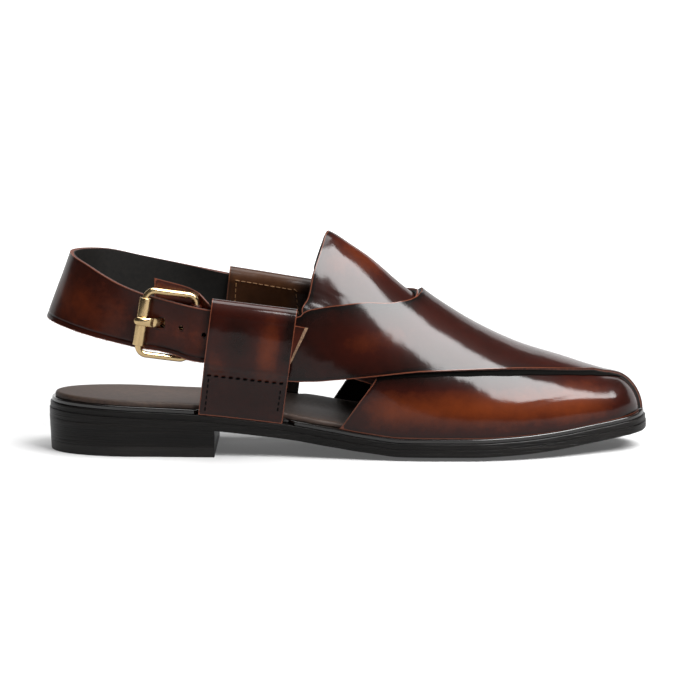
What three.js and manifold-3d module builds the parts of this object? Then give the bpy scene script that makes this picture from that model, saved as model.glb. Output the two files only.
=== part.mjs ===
// A Peshawari chappal: one right shoe of a man's pair, EU 43, with crossed upper bands, an instep tongue,
// a keeper loop on each side, a heel strap and a roller buckle on the lateral side.
// Millimetres. +X runs from heel to toe, +Y to the medial side, +Z up from the floor.
// The origin is the middle of the heel's resting face.
import * as THREE from "three";
import { mergeVertices } from "three/addons/utils/BufferGeometryUtils.js";
import Module from "manifold-3d";

const wasm = await Module();
wasm.setup();

const LATERAL = -1;
const MEDIAL = 1;
const GAP = 0.3; // clearance left between pieces that touch

// Sole: lengths and layer thicknesses
const HEEL_BACK_X = -41.5;
const TOE_TIP_X = 260.5;
const BREAST_X = 43;
const HEEL_ROUND = 46; // length over which the heel outline closes
const NOSE_ROUND = 12; // length over which the blunt toe closes
const OUTSOLE_THICK = 4.2;
const MIDSOLE_THICK = 2.8;
const SOLE_STACK = OUTSOLE_THICK + MIDSOLE_THICK + GAP;
const SOLE_CHAMFER = 0.9;
const DISH = 1.5; // how far the sole's edges curl up at the ball
const DISH_FROM = 0.62; // share of the half width at which the curl starts
const MIDSOLE_STEP = 0.4; // the midsole stands back from the outsole edge
const BOARD_THICK = 2; // the black board under the sock, which the upper is lasted over
const BOARD_STEP = 1.3;
const SOCK_THICK = 2.4;
const SOCK_TOE_THICK = 1.4;
const TOP_PIECE_THICK = 5;
const HEEL_TAPER = 0.7; // how much narrower the heel is at the floor
const SOLE_STATIONS = 44;

// Upper: leather thicknesses and how the layers lie on the last
const WALL = 2.2;
const OVER_BAND_SINK = 1; // the over band is bedded this far into the under band where they cross
const TONGUE_WALL = 2;
const TONGUE_GAP = 0.6; // clearance between the tongue and the bands
const FEATHER_INSET = 4.6; // from the sole edge to the inside of the upper
const KEEPER_INSET = 2.1;
const NOSE_HEIGHT_ROUND = 10; // length over which the toe box drops to the sole
const NOSE_WIDTH_ROUND = 14;
const LAST_TIP_X = 254.4;

// Keepers, straps and buckle. An offset is measured sideways from the last.
const LEAF = 2; // each leaf of a keeper
const STRAP_THICK = 2.4;
const TAB_THICK = 1.2;
const TAB_OFFSET = 2.8;
const STRAP_OFFSET = 4.4;
const STRAP_END_OFFSET = -2.8; // the heel strap's medial end lies inside the under band
const ROLLER_RADIUS = 2.95;
const ROLLER_BORE = 1.8;
const ROLLER_LENGTH = 27;
const FRAME_BAR = 1.6;
const BAR_WRAP = 2.9; // outer radius of the tab where it is folded round the bar
const PRONG_HOLE = { x: 15.8, z: 68.7, length: 5.6, height: 6.4 };

// Half widths of the outsole either side of the heel-to-toe line, and its underside height.
// middle: where the upper's ridge runs, which swings to the medial side towards the toe.
const OUTLINE = [
  { x: -41.5, lateral: 31, medial: 31, middle: 0 },
  { x: -15, lateral: 29.3, medial: 29.3, middle: 0 },
  { x: 5, lateral: 29.2, medial: 29.2, middle: 0 },
  { x: 43, lateral: 31, medial: 30.5, middle: 0 },
  { x: 75, lateral: 31.5, medial: 29.5, middle: 0 },
  { x: 100, lateral: 35, medial: 33.5, middle: 0.4 },
  { x: 125, lateral: 39.5, medial: 42, middle: 1.5 },
  { x: 150, lateral: 42.3, medial: 50, middle: 2.6 },
  { x: 170, lateral: 42.6, medial: 53, middle: 3.4 },
  { x: 190, lateral: 40, medial: 51.5, middle: 4 },
  { x: 210, lateral: 34, medial: 46, middle: 4.5 },
  { x: 230, lateral: 25, medial: 37, middle: 4.8 },
  { x: 245, lateral: 17, medial: 28, middle: 5 },
  { x: 260.5, lateral: 9, medial: 19, middle: 5 },
];
const UNDERSIDE = [
  { x: -41.5, z: 17.2 },
  { x: -14, z: 16.1 },
  { x: 11, z: 15 },
  { x: 36, z: 13.9 },
  { x: 51, z: 12.5 },
  { x: 66, z: 10.8 },
  { x: 84, z: 8.6 },
  { x: 102, z: 5.5 },
  { x: 115.6, z: 2.6 },
  { x: 136, z: 0 },
  { x: 172, z: 0 },
  { x: 193, z: 0.7 },
  { x: 214, z: 2.3 },
  { x: 233.6, z: 4.8 },
  { x: 260.5, z: 9.6 },
];

// The last, section by section. ridge: height of its top line. wall: how high the side stands before it
// turns in, as a share of the section. swell: how far the side bulges. roof: width of the top, as a share.
const LAST = [
  { x: 30, ridge: 120, wall: 0.62, swell: 13.5, roof: 0.62 },
  { x: 60, ridge: 120, wall: 0.62, swell: 13.5, roof: 0.62 },
  { x: 85, ridge: 118, wall: 0.6, swell: 12, roof: 0.46 },
  { x: 100, ridge: 111.5, wall: 0.6, swell: 10, roof: 0.36 },
  { x: 110.5, ridge: 104.2, wall: 0.6, swell: 8.2, roof: 0.35 },
  { x: 120.8, ridge: 96.9, wall: 0.6, swell: 6.5, roof: 0.34 },
  { x: 137.9, ridge: 82.2, wall: 0.6, swell: 5, roof: 0.36 },
  { x: 153.6, ridge: 70.5, wall: 0.6, swell: 4, roof: 0.4 },
  { x: 174.5, ridge: 57.7, wall: 0.64, swell: 3.5, roof: 0.46 },
  { x: 195.8, ridge: 48, wall: 0.68, swell: 3.5, roof: 0.5 },
  { x: 215.1, ridge: 41.9, wall: 0.72, swell: 3.2, roof: 0.54 },
  { x: 237.7, ridge: 34.9, wall: 0.76, swell: 2.4, roof: 0.58 },
  { x: 254.4, ridge: 31.6, wall: 0.78, swell: 1.6, roof: 0.6 },
];

// Edges of the crossed bands, as heights on the last. The straps run back from the crossing to the keepers.
const LATERAL_STRAP = [
  { x: 48, low: 43.6, top: 70.6 },
  { x: 66, low: 41.4, top: 70.6 },
  { x: 84.8, low: 38.9, top: 70.4 },
  { x: 88, low: 39, top: 73 },
  { x: 92, low: 39, top: 74 },
  { x: 103, low: 39.7, top: 75 },
  { x: 116, low: 40.8, top: 75.4 },
  { x: 130, low: 41.9, top: 74.2 },
  { x: 137, low: 42.4, top: 74.4 },
  { x: 141.5, low: 42.6, top: 75.4 },
  { x: 144.3, low: 42.7, top: 76.8 },
  { x: 174, low: 42, top: 60 },
  { x: 196, low: 40.6, top: 50 },
  { x: 214, low: 38.8, top: 44 },
  { x: 230, low: 36.6, top: 40 },
  { x: 241, low: 34.2, top: 40 },
  { x: 248, low: 34, top: 36 },
];
const MEDIAL_STRAP = [
  { x: 54, low: 44.4, top: 78.6 },
  { x: 90, low: 41.6, top: 77 },
  { x: 103, low: 41.6, top: 79 },
  { x: 120, low: 42, top: 79 },
  { x: 132, low: 42.2, top: 78.4 },
  { x: 138.5, low: 42.2, top: 77.6 },
  { x: 142.8, low: 42.2, top: 78 },
  { x: 177, low: 42, top: 60 },
  { x: 200, low: 39.8, top: 50 },
  { x: 217, low: 37.6, top: 44 },
  { x: 236, low: 35.4, top: 40 },
  { x: 248, low: 34, top: 36 },
];
const OVER_CROTCH_X = 144.3; // where the over band's rear edge crosses the ridge
const UNDER_CROTCH_X = 142.8;
const LATERAL_STRAP_END_X = 48;
const MEDIAL_STRAP_END_X = 54;

// Rear edges of the two vamps, from the sole up to the crossing
const VAMP_BACK = [
  { height: 14, under: 105, over: 98 },
  { height: 27, under: 114, over: 107.8 },
  { height: 40, under: 123.2, over: 117.5 },
  { height: 60, under: 134, over: 131.5 },
  { height: 72, under: 139.6, over: 140.4 },
  { height: 77.4, under: 142.8, over: 144.3 },
];

// Rear edge of the tongue, from low on its sides up to its peak, and where its hidden front edge lies
const TONGUE_BACK = [
  { height: 46, x: 93, medial: 96 },
  { height: 60, x: 89.5, medial: 94.5 },
  { height: 74, x: 86.6, medial: 93.4 },
  { height: 80, x: 90, medial: 93 },
  { height: 85, x: 91.4, medial: 92.8 },
  { height: 90, x: 92.3, medial: 92.8 },
  { height: 95, x: 93.8, medial: 94 },
  { height: 100.5, x: 95.7, medial: 95.7 },
  { height: 106.2, x: 97.6, medial: 97.6 },
  { height: 109.8, x: 98.8, medial: 98.8 },
  { height: 111.6, x: 100.3, medial: 100.3 },
];
const TONGUE_FRONT_X = 166;

// Keepers: corners of the outer leaf. The tunnel starts at the stitch line and ends under the fold.
const KEEPERS = {
  [LATERAL]: {
    backFoot: 35.7, frontFoot: 78.1, backTop: 42.8, frontTop: 84.5,
    stitchBack: 42.4, stitchFront: 37.7, topBack: 80.3, topFront: 75, inner: -2.9, outer: 9.3,
  },
  [MEDIAL]: {
    backFoot: 41, frontFoot: 83, backTop: 49.1, frontTop: 90.6,
    stitchBack: 43.4, stitchFront: 39.6, topBack: 88.6, topFront: 82.2, inner: -5.6, outer: 4.9,
  },
};

// The heel strap from behind the medial keeper round the heel to the lateral keeper: its two edges
const STRAP_ROUND = [
  { top: [25, 31.2, 89.2], low: [24, 32, 57.5] },
  { top: [4, 30.4, 93.7], low: [4, 31.4, 60] },
  { top: [-11.5, 25.4, 97.6], low: [-15, 28, 62.4] },
  { top: [-20.9, 16.8, 98.9], low: [-29.6, 19.6, 64.8] },
  { top: [-26.2, 8.4, 99.3], low: [-37.4, 9.6, 66] },
  { top: [-27.8, 0, 99.1], low: [-40.1, 0, 66.4] },
  { top: [-25.8, -8.8, 97.8], low: [-37, -9.8, 65.2] },
  { top: [-18.4, -17.8, 94.4], low: [-28, -19, 62.8] },
  { top: [-10.2, -24.4, 90.2], low: [-16.5, -25.8, 60.2] },
  { top: [-2, -28.8, 86.4], low: [-4.5, -30, 57.8] },
  { top: [8.5, -32.2, 82.6], low: [8, -32.9, 55.4] },
  { top: [14, -33.4, 81.2], low: [14, -33.8, 54.8] },
  { top: [20, -34.5, 79.8], low: [20, -34.8, 53.7] },
  { top: [26, -35.7, 78.3], low: [26, -36, 52.2] },
  { top: [32, -36.4, 76.8], low: [31, -36.9, 50.2] },
  { top: [40, -35.5, 75], low: [38, -36.6, 48.9] },
];
// Where the strap lies in the lateral keeper, to its slanting cut end, and its end in the medial keeper
const STRAP_TAIL = [
  { lowX: 49, topX: 49, low: 48.9, top: 73.4 },
  { lowX: 60, topX: 60, low: 48.9, top: 71.3 },
  { lowX: 71, topX: 73, low: 48.8, top: 69 },
  { lowX: 81.2, topX: 89.6, low: 48.6, top: 65.6 },
];
const STRAP_START = [
  { lowX: 78, topX: 79, low: 52, top: 79.4 },
  { lowX: 62, topX: 63, low: 53.4, top: 82.1 },
  { lowX: 46, topX: 47, low: 55, top: 84.8 },
];

// The buckle: middle of the roller, the direction of its bars and the two bars' distances from the shoe's middle
const BUCKLE = { x: 8.1, z: 68.9, tilt: 0.165, width: 24.9, low: -15.4, high: 16.6, corner: 4.5, left: 39, right: 33 };
const TAB_BACK = [
  { x: 14, low: 58, top: 90.2, out: 31.2 },
  { x: 21, low: 56, top: 88.2, out: 30.2 },
  { x: 28.5, low: 54.6, top: 86, out: 29.15 },
  { x: 33, low: 53.4, top: 84.2, out: 29.05 },
  { x: 36.6, low: 52.8, top: 82, out: 29.4 },
  { x: 39.5, low: 52.2, top: 79.4, out: 32.3 },
  { x: 43, low: 51.6, top: 75.6, out: 34 },
];
// Across the buckle from the roller bar, out from the shoe's middle
const PRONG_UP = 1.2;
const PRONG = [
  { across: 23.1, out: 33.1, thick: 1.2, wide: 2.2 },
  { across: 15.7, out: 33.2, thick: 1.2, wide: 2.2 },
  { across: 10.3, out: 33.1, thick: 1.2, wide: 2.2 },
  { across: 7.5, out: 35.8, thick: 1.2, wide: 2.2 },
  { across: 4.9, out: 40.6, thick: 1.3, wide: 2.2 },
  { across: 1, out: 43.4, thick: 1.3, wide: 2.2 },
  { across: -2, out: 43.5, thick: 1.2, wide: 2 },
  { across: -3.7, out: 43.1, thick: 0.9, wide: 1.4 },
];

// Interpolates one column of a table with a monotone cubic through its rows.
function column(rows, name, key = "x") {
  const xs = rows.map((r) => r[key]);
  const ys = rows.map((r) => r[name]);
  const slopes = xs.slice(1).map((x, i) => (ys[i + 1] - ys[i]) / (x - xs[i]));
  const tangents = ys.map((_, i) => {
    if (i === 0) return slopes[0];
    if (i === slopes.length) return slopes[i - 1];
    const [a, b] = [slopes[i - 1], slopes[i]];
    return a * b <= 0 ? 0 : (2 * a * b) / (a + b);
  });
  return (x) => {
    const at = Math.min(Math.max(x, xs[0]), xs[xs.length - 1]);
    let i = 0;
    while (i < slopes.length - 1 && xs[i + 1] <= at) i++;
    const h = xs[i + 1] - xs[i];
    const t = (at - xs[i]) / h;
    const u = 1 - t;
    return (
      ys[i] * (1 + 2 * t) * u * u +
      ys[i + 1] * t * t * (3 - 2 * t) +
      h * t * u * (tangents[i] * u - tangents[i + 1] * t)
    );
  };
}

const smooth = (from, to, x) => THREE.MathUtils.smoothstep(x, from, to);
const mix = THREE.MathUtils.lerp;
const outlineOf = { [LATERAL]: column(OUTLINE, "lateral"), [MEDIAL]: column(OUTLINE, "medial") };
const middleAt = column(OUTLINE, "middle");
const undersideAt = column(UNDERSIDE, "z");
const ridgeAt = column(LAST, "ridge");
const wallAt = column(LAST, "wall");
const swellAt = column(LAST, "swell");
const roofAt = column(LAST, "roof");

// Distance from the middle line to the edge of the sole at x: the table, closed by a round heel and a blunt nose.
function soleReach(x, side, inset = 0) {
  const from = HEEL_BACK_X + inset;
  const to = TOE_TIP_X - inset;
  const heel = Math.max(0, (from + HEEL_ROUND - x) / HEEL_ROUND);
  const nose = Math.max(0, (x - to + NOSE_ROUND) / NOSE_ROUND);
  const close = Math.sqrt(Math.max(0, 1 - heel * heel)) * Math.sqrt(Math.max(0, 1 - nose ** 2.6));
  return Math.max(0, outlineOf[side](x) - inset - side * middleAt(x)) * close;
}

// How far the dished sole rises at a place, above its height on the middle line.
function dishAt(x, y) {
  const side = y < middleAt(x) ? LATERAL : MEDIAL;
  const full = outlineOf[side](x) - side * middleAt(x);
  const share = Math.abs(y - middleAt(x)) / full;
  const amount = DISH * smooth(92, 128, x) * (1 - smooth(225, 260, x));
  return amount * Math.min(1, Math.max(0, (share - DISH_FROM) / (1 - DISH_FROM)));
}

// x positions that crowd towards both ends, so that the round ends stay round.
function endCrowded(from, to, count) {
  const xs = [];
  for (let i = 0; i <= count; i++) xs.push(from + ((to - from) * (1 - Math.cos((Math.PI * i) / count))) / 2);
  return xs;
}

const featherInset = (x) => mix(KEEPER_INSET, FEATHER_INSET, smooth(82, 104, x));
const topOfSole = (x) => undersideAt(x) + SOLE_STACK;
const topOfBoard = (x) => topOfSole(x) + GAP + BOARD_THICK;

// How far the toe box has closed at x, for widths and for heights, from 1 down to 0 at the nose.
function noseClose(x, length, power = 2) {
  const t = Math.max(0, (x - LAST_TIP_X + length) / length);
  return Math.sqrt(Math.max(0, 1 - t ** power));
}

// The control points of half a section of the last, as [out from the middle line, up] from the sole to the ridge.
function lastSection(x, side) {
  const close = noseClose(x, NOSE_WIDTH_ROUND, 2.4);
  const width = Math.max(0, outlineOf[side](x) - featherInset(x) - side * middleAt(x)) * close;
  const foot = topOfBoard(x) + dishAt(x, middleAt(x) + side * width);
  const height = (ridgeAt(x) - foot) * noseClose(x, NOSE_HEIGHT_ROUND);
  return [
    [width, foot],
    [width + swellAt(x) * close, foot + wallAt(x) * height],
    [roofAt(x) * width, foot + height],
    [0, foot + height],
  ];
}

// A point of the last at x, on one side, a share of the way up from the sole (0) to the ridge (1).
function lastPoint(x, side, share) {
  const c = lastSection(x, side);
  const u = 1 - share;
  const w = [u * u * u, 3 * share * u * u, 3 * share * share * u, share * share * share];
  const out = w.reduce((sum, v, i) => sum + v * c[i][0], 0);
  const up = w.reduce((sum, v, i) => sum + v * c[i][1], 0);
  return new THREE.Vector3(x, middleAt(x) + side * out, up);
}

// The outward normal of the last. At the nose it points forwards.
function lastNormal(x, side, share) {
  if (x > LAST_TIP_X - 0.05) return new THREE.Vector3(1, 0, 0);
  const step = 0.02;
  const up = lastPoint(x, side, Math.min(1, share + step)).sub(lastPoint(x, side, Math.max(0, share - step)));
  const back = Math.min(1, (LAST_TIP_X - x) * 0.4);
  const along = lastPoint(x + back * 0.5, side, share).sub(lastPoint(x - back, side, share));
  const n = up.cross(along).normalize();
  if (side === LATERAL) n.negate();
  if (share > 0.999) n.setY(0).normalize();
  return n;
}

// The share of the way up the section at which the last reaches a height.
function shareAtHeight(x, side, height) {
  let lo = 0;
  let hi = 1;
  for (let i = 0; i < 30; i++) {
    const mid = (lo + hi) / 2;
    if (lastPoint(x, side, mid).z < height) lo = mid;
    else hi = mid;
  }
  return (lo + hi) / 2;
}

// A point a set distance outside the last, never lower than the top of the board.
function offLast(x, side, share, off) {
  const p = lastPoint(x, side, share).addScaledVector(lastNormal(x, side, share), off);
  p.z = Math.max(p.z, topOfBoard(p.x) + dishAt(p.x, p.y) + GAP);
  return p;
}

// A point beside the last at a height, a set distance further out sideways.
function besideLast(x, side, height, off) {
  const p = lastPoint(x, side, shareAtHeight(x, side, height));
  return new THREE.Vector3(x, p.y + side * off, height);
}

// A closed geometry from points and triangles. Triangles with no area are dropped.
function geometryOf(points, triangles) {
  const raw = new THREE.BufferGeometry();
  raw.setAttribute("position", new THREE.Float32BufferAttribute(points.flatMap((p) => [p.x, p.y, p.z]), 3));
  raw.setIndex(triangles.flat());
  const merged = mergeVertices(raw, 1e-3);
  const index = merged.index.array;
  const kept = [];
  for (let i = 0; i < index.length; i += 3) {
    const [a, b, c] = [index[i], index[i + 1], index[i + 2]];
    if (a !== b && b !== c && a !== c) kept.push(a, b, c);
  }
  const at = merged.attributes.position;
  const [a, b, c] = [new THREE.Vector3(), new THREE.Vector3(), new THREE.Vector3()];
  let volume = 0;
  for (let i = 0; i < kept.length; i += 3) {
    a.fromBufferAttribute(at, kept[i]);
    b.fromBufferAttribute(at, kept[i + 1]);
    c.fromBufferAttribute(at, kept[i + 2]);
    volume += a.dot(b.clone().cross(c));
  }
  if (volume < 0) kept.reverse();
  merged.setIndex(kept);
  return merged;
}

// A solid through a row of rings, each a list of points: closed by a flat cap at both ends, or into a ring.
function loft(rings, joined = false) {
  const n = rings[0].length;
  const triangles = [];
  for (let i = 0; i < (joined ? rings.length : rings.length - 1); i++) {
    for (let j = 0; j < n; j++) {
      const [a, b] = [i * n + j, i * n + ((j + 1) % n)];
      const [c, d] = [((i + 1) % rings.length) * n + j, ((i + 1) % rings.length) * n + ((j + 1) % n)];
      triangles.push([a, b, d], [a, d, c]);
    }
  }
  const last = (rings.length - 1) * n;
  for (let j = 1; j + 1 < n && !joined; j++) {
    triangles.push([0, j + 1, j], [last, last + j, last + j + 1]);
  }
  return geometryOf(rings.flat(), triangles);
}

// A sheet with thickness: quads index both point lists, and every free edge gets a rim.
function thickSheet(outer, inner, quads) {
  const n = outer.length;
  const triangles = [];
  const edges = new Map();
  for (const [a, b, c, d] of quads) {
    triangles.push([a, b, c], [a, c, d], [n + a, n + c, n + b], [n + a, n + d, n + c]);
    for (const [p, q] of [[a, b], [b, c], [c, d], [d, a]]) {
      if (!edges.delete(q + "-" + p)) edges.set(p + "-" + q, [p, q]);
    }
  }
  for (const [p, q] of edges.values()) triangles.push([p, n + p, n + q], [p, n + q, q]);
  return geometryOf([...outer, ...inner], triangles);
}

// The quads of a grid of points stored row by row.
function gridQuads(rows, columns) {
  const quads = [];
  for (let i = 0; i + 1 < rows; i++) {
    for (let j = 0; j + 1 < columns; j++) {
      const a = i * columns + j;
      quads.push([a, a + 1, a + columns + 1, a + columns]);
    }
  }
  return quads;
}

// A strap from a grid of points on its inner face: thickness is added away from the shoe's middle.
function strapSheet(grid, thickness) {
  const [rows, columns] = [grid.length, grid[0].length];
  const at = (i, j) => grid[Math.min(rows - 1, Math.max(0, i))][Math.min(columns - 1, Math.max(0, j))];
  const outer = [];
  for (let i = 0; i < rows; i++) {
    for (let j = 0; j < columns; j++) {
      const along = at(i + 1, j).clone().sub(at(i - 1, j));
      const up = at(i, j + 1).clone().sub(at(i, j - 1));
      const n = along.cross(up).normalize();
      outer.push(at(i, j).clone().addScaledVector(n, thickness));
    }
  }
  return thickSheet(outer, grid.flat(), gridQuads(rows, columns));
}

function solidOf(geometry) {
  const bare = geometry.index ? geometry.toNonIndexed() : geometry.clone();
  bare.deleteAttribute("normal");
  bare.deleteAttribute("uv");
  const merged = mergeVertices(bare, 1e-3);
  return new wasm.Manifold(
    new wasm.Mesh({
      numProp: 3,
      vertProperties: merged.attributes.position.array,
      triVerts: new Uint32Array(merged.index.array),
    }),
  );
}

function geometryFrom(solid) {
  const made = solid.getMesh();
  const geometry = new THREE.BufferGeometry();
  geometry.setAttribute("position", new THREE.BufferAttribute(made.vertProperties, 3));
  geometry.setIndex(new THREE.BufferAttribute(made.triVerts, 1));
  return geometry;
}

const joined = (first, ...rest) => geometryFrom(rest.reduce((solid, g) => solid.add(solidOf(g)), solidOf(first)));

// One dished layer of the sole between two heights, which are functions of x. reach gives its half widths.
// rise lifts its lower edge and cut chamfers it.
function soleLayer({ from, to, low, high, reach, cut = 0, rise = 0, round = 0, extra = [] }) {
  const xs = [...endCrowded(from, to, SOLE_STATIONS), ...extra].sort((a, b) => a - b);
  const rings = xs.map((x) => {
    const middle = middleAt(x);
    const left = Math.max(0.5, reach(x, LATERAL));
    const right = Math.max(0.5, reach(x, MEDIAL));
    const edge = Math.min(cut, 0.3 * Math.min(left, right));
    const soft = Math.min(round, 0.3 * Math.min(left, right));
    const curl = rise * smooth(92, 128, x);
    const flat = Math.min(DISH_FROM, 0.9);
    const at = (y, z) => new THREE.Vector3(x, middle + y, z + dishAt(x, middle + y));
    const ring = [
      at(-left + edge, low(x) + curl),
      at(-left * flat, low(x)),
      at(right * flat, low(x)),
      at(right - edge, low(x) + curl),
      at(right, low(x) + curl + edge),
      at(right, high(x) - soft),
    ];
    if (round) ring.push(at(right - 0.35 * soft, high(x) - 0.3 * soft), at(right - soft, high(x)));
    ring.push(at(right * flat, high(x)), at(-left * flat, high(x)));
    if (round) ring.push(at(-left + soft, high(x)), at(-left + 0.35 * soft, high(x) - 0.3 * soft));
    ring.push(at(-left, high(x) - soft), at(-left, low(x) + curl + edge));
    return ring;
  });
  return loft(rings);
}

function outsole() {
  return soleLayer({
    from: HEEL_BACK_X, to: TOE_TIP_X, low: undersideAt, high: (x) => undersideAt(x) + OUTSOLE_THICK,
    reach: soleReach, cut: SOLE_CHAMFER, rise: 0.5,
  });
}

function midsole() {
  return soleLayer({
    from: HEEL_BACK_X + MIDSOLE_STEP, to: TOE_TIP_X - MIDSOLE_STEP,
    low: (x) => undersideAt(x) + OUTSOLE_THICK + GAP, high: topOfSole,
    reach: (x, side) => soleReach(x, side, MIDSOLE_STEP),
  });
}

// The board and the sock narrow between the keepers, whose leaves stand outside them.
const keeperNarrowing = (x, side) => {
  const k = KEEPERS[side];
  return smooth(k.backFoot - 3, k.backFoot - 1, x) * (1 - smooth(k.frontFoot + 1.5, k.frontFoot + 3.5, x));
};
const NARROW_AT = [LATERAL, MEDIAL].flatMap((side) => {
  const k = KEEPERS[side];
  return [k.backFoot - 3, k.backFoot - 1, k.frontFoot + 1.5, k.frontFoot + 3.5];
});

function insoleBoard() {
  return soleLayer({
    from: HEEL_BACK_X + BOARD_STEP, to: TOE_TIP_X - BOARD_STEP, low: (x) => topOfSole(x) + GAP, high: topOfBoard,
    reach: (x, side) => soleReach(x, side, BOARD_STEP) - 3.9 * keeperNarrowing(x, side),
    extra: NARROW_AT,
  });
}

// The sock lies on the board inside the upper and the keepers. Its top edge is rounded.
const sockStep = (x) => 2.2 + 1.4 * smooth(0, 30, x) + 2.4 * smooth(92, 104, x);

function insole() {
  const from = HEEL_BACK_X + 3;
  const to = LAST_TIP_X - 2;
  return soleLayer({
    from, to, low: (x) => topOfBoard(x) + GAP,
    high: (x) => topOfBoard(x) + GAP + mix(SOCK_THICK, SOCK_TOE_THICK, smooth(90, 170, x)),
    reach: (x, side) => {
      const wide = soleReach(x, side, sockStep(x)) - 1.8 * keeperNarrowing(x, side);
      const heel = Math.max(0, (from + HEEL_ROUND - x) / HEEL_ROUND);
      return Math.min(wide, outlineOf[side](x) * Math.sqrt(Math.max(0, 1 - heel * heel))) * noseClose(x + 2, 18);
    },
    round: 1.6, extra: NARROW_AT,
  });
}

// A slice of the heel between two heights. The heel narrows downwards.
function heelSlice(low, high) {
  const outline = (heightAt) => {
    const xs = endCrowded(HEEL_BACK_X, 2 * BREAST_X - HEEL_BACK_X, 30).filter((x) => x < BREAST_X - 1);
    xs.push(BREAST_X);
    const half = (side) =>
      xs.map((x) => {
        const taper = HEEL_TAPER * (1 - heightAt(x) / undersideAt(0));
        return new THREE.Vector3(
          x + taper * smooth(20, HEEL_BACK_X, x), side * Math.max(0.4, soleReach(x, side) - taper), heightAt(x),
        );
      });
    return [...half(LATERAL), ...half(MEDIAL).reverse()];
  };
  return loft([outline(low), outline(high)]);
}

// One of the two crossed bands. Its vamp is lasted to the sole on one side of the forefoot, it passes over the
// ridge, and its strap runs back on the other side to a keeper. lap gives how far it has climbed onto the
// other band at a place, from 0 to 1.
function crossBand({ strapSide, edges, crotchX, strapEndX, backEdge, lap }) {
  const low = column(edges, "low");
  const top = column(edges, "top");
  const vampBack = column(VAMP_BACK, backEdge, "height");
  const vampSide = -strapSide;
  const before = 15; // stations from the strap's end to the crotch, one of them just ahead of the keeper
  const after = 22; // stations from the crotch to the nose
  const across = 7; // cells over the strap
  const down = 8; // cells from the ridge to the sole
  const xs = [KEEPERS[strapSide].frontTop + 0.3];
  for (let i = 0; i < before - 1; i++) xs.push(mix(crotchX, strapEndX, (1 - i / (before - 1)) ** 1.7));
  xs.sort((a, b) => a - b);
  for (let i = 0; i <= after; i++) xs.push(mix(crotchX, LAST_TIP_X, Math.sin((Math.PI / 2) * (i / after))));
  const places = [];
  xs.forEach((x, i) => {
    const bottom = mix(shareAtHeight(x, strapSide, low(x)), 1, smooth(226, 250, x));
    const peak = i >= before ? 1 : shareAtHeight(x, strapSide, top(x));
    for (let j = 0; j <= across; j++) places.push([x, strapSide, mix(bottom, peak, j / across)]);
  });
  const quads = gridQuads(xs.length, across + 1);
  const shared = (i) => (before + i) * (across + 1) + across;
  const vampStart = places.length;
  for (let i = 0; i <= after; i++) {
    for (let j = 1; j <= down; j++) {
      const share = 1 - j / down;
      let backX = crotchX;
      for (let k = 0; k < 8; k++) backX = Math.min(crotchX, vampBack(lastPoint(backX, vampSide, share).z));
      const x = backX + ((xs[before + i] - crotchX) * (LAST_TIP_X - backX)) / (LAST_TIP_X - crotchX);
      places.push([x, vampSide, share]);
    }
  }
  const vamp = (i, j) => (j === 0 ? shared(i) : vampStart + i * down + j - 1);
  for (let i = 0; i < after; i++) {
    for (let j = 0; j < down; j++) quads.push([vamp(i, j), vamp(i, j + 1), vamp(i + 1, j + 1), vamp(i + 1, j)]);
  }
  const outer = places.map((p) => offLast(...p, WALL * (1 + lap(...p))));
  const inner = places.map((p) => offLast(...p, (WALL - OVER_BAND_SINK) * lap(...p)));
  return thickSheet(outer, inner, quads);
}

// The over band lies on the under band, except low on its own vamp and along its free strap.
function overLap(x, side, share) {
  if (side === MEDIAL) return smooth(0, 0.4, share);
  return smooth(78, 120, x);
}

function upper() {
  const under = crossBand({
    strapSide: MEDIAL, edges: MEDIAL_STRAP, crotchX: UNDER_CROTCH_X, strapEndX: MEDIAL_STRAP_END_X,
    backEdge: "under", lap: () => 0,
  });
  const over = crossBand({
    strapSide: LATERAL, edges: LATERAL_STRAP, crotchX: OVER_CROTCH_X, strapEndX: LATERAL_STRAP_END_X,
    backEdge: "over", lap: overLap,
  });
  return joined(under, over);
}

// The tongue lies inside the crossed bands and rises behind them to a peak on the instep.
function tongue() {
  const steps = 16;
  const edge = (side, key) =>
    TONGUE_BACK.map((row, i) => {
      const peak = i === TONGUE_BACK.length - 1;
      return [side, { x: row[key], share: peak ? 1 : shareAtHeight(row[key], side, row.height) }];
    });
  const sides = [...edge(LATERAL, "x"), ...edge(MEDIAL, "medial").slice(0, -1).reverse()];
  const places = [];
  for (let i = 0; i <= steps; i++) {
    for (const [side, e] of sides) places.push([mix(e.x, TONGUE_FRONT_X, i / steps), side, e.share]);
  }
  const face = (off) => places.map(([x, side, share]) => offLast(x, side, share, off));
  return thickSheet(face(-TONGUE_GAP), face(-TONGUE_GAP - TONGUE_WALL), gridQuads(steps + 1, sides.length));
}

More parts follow.
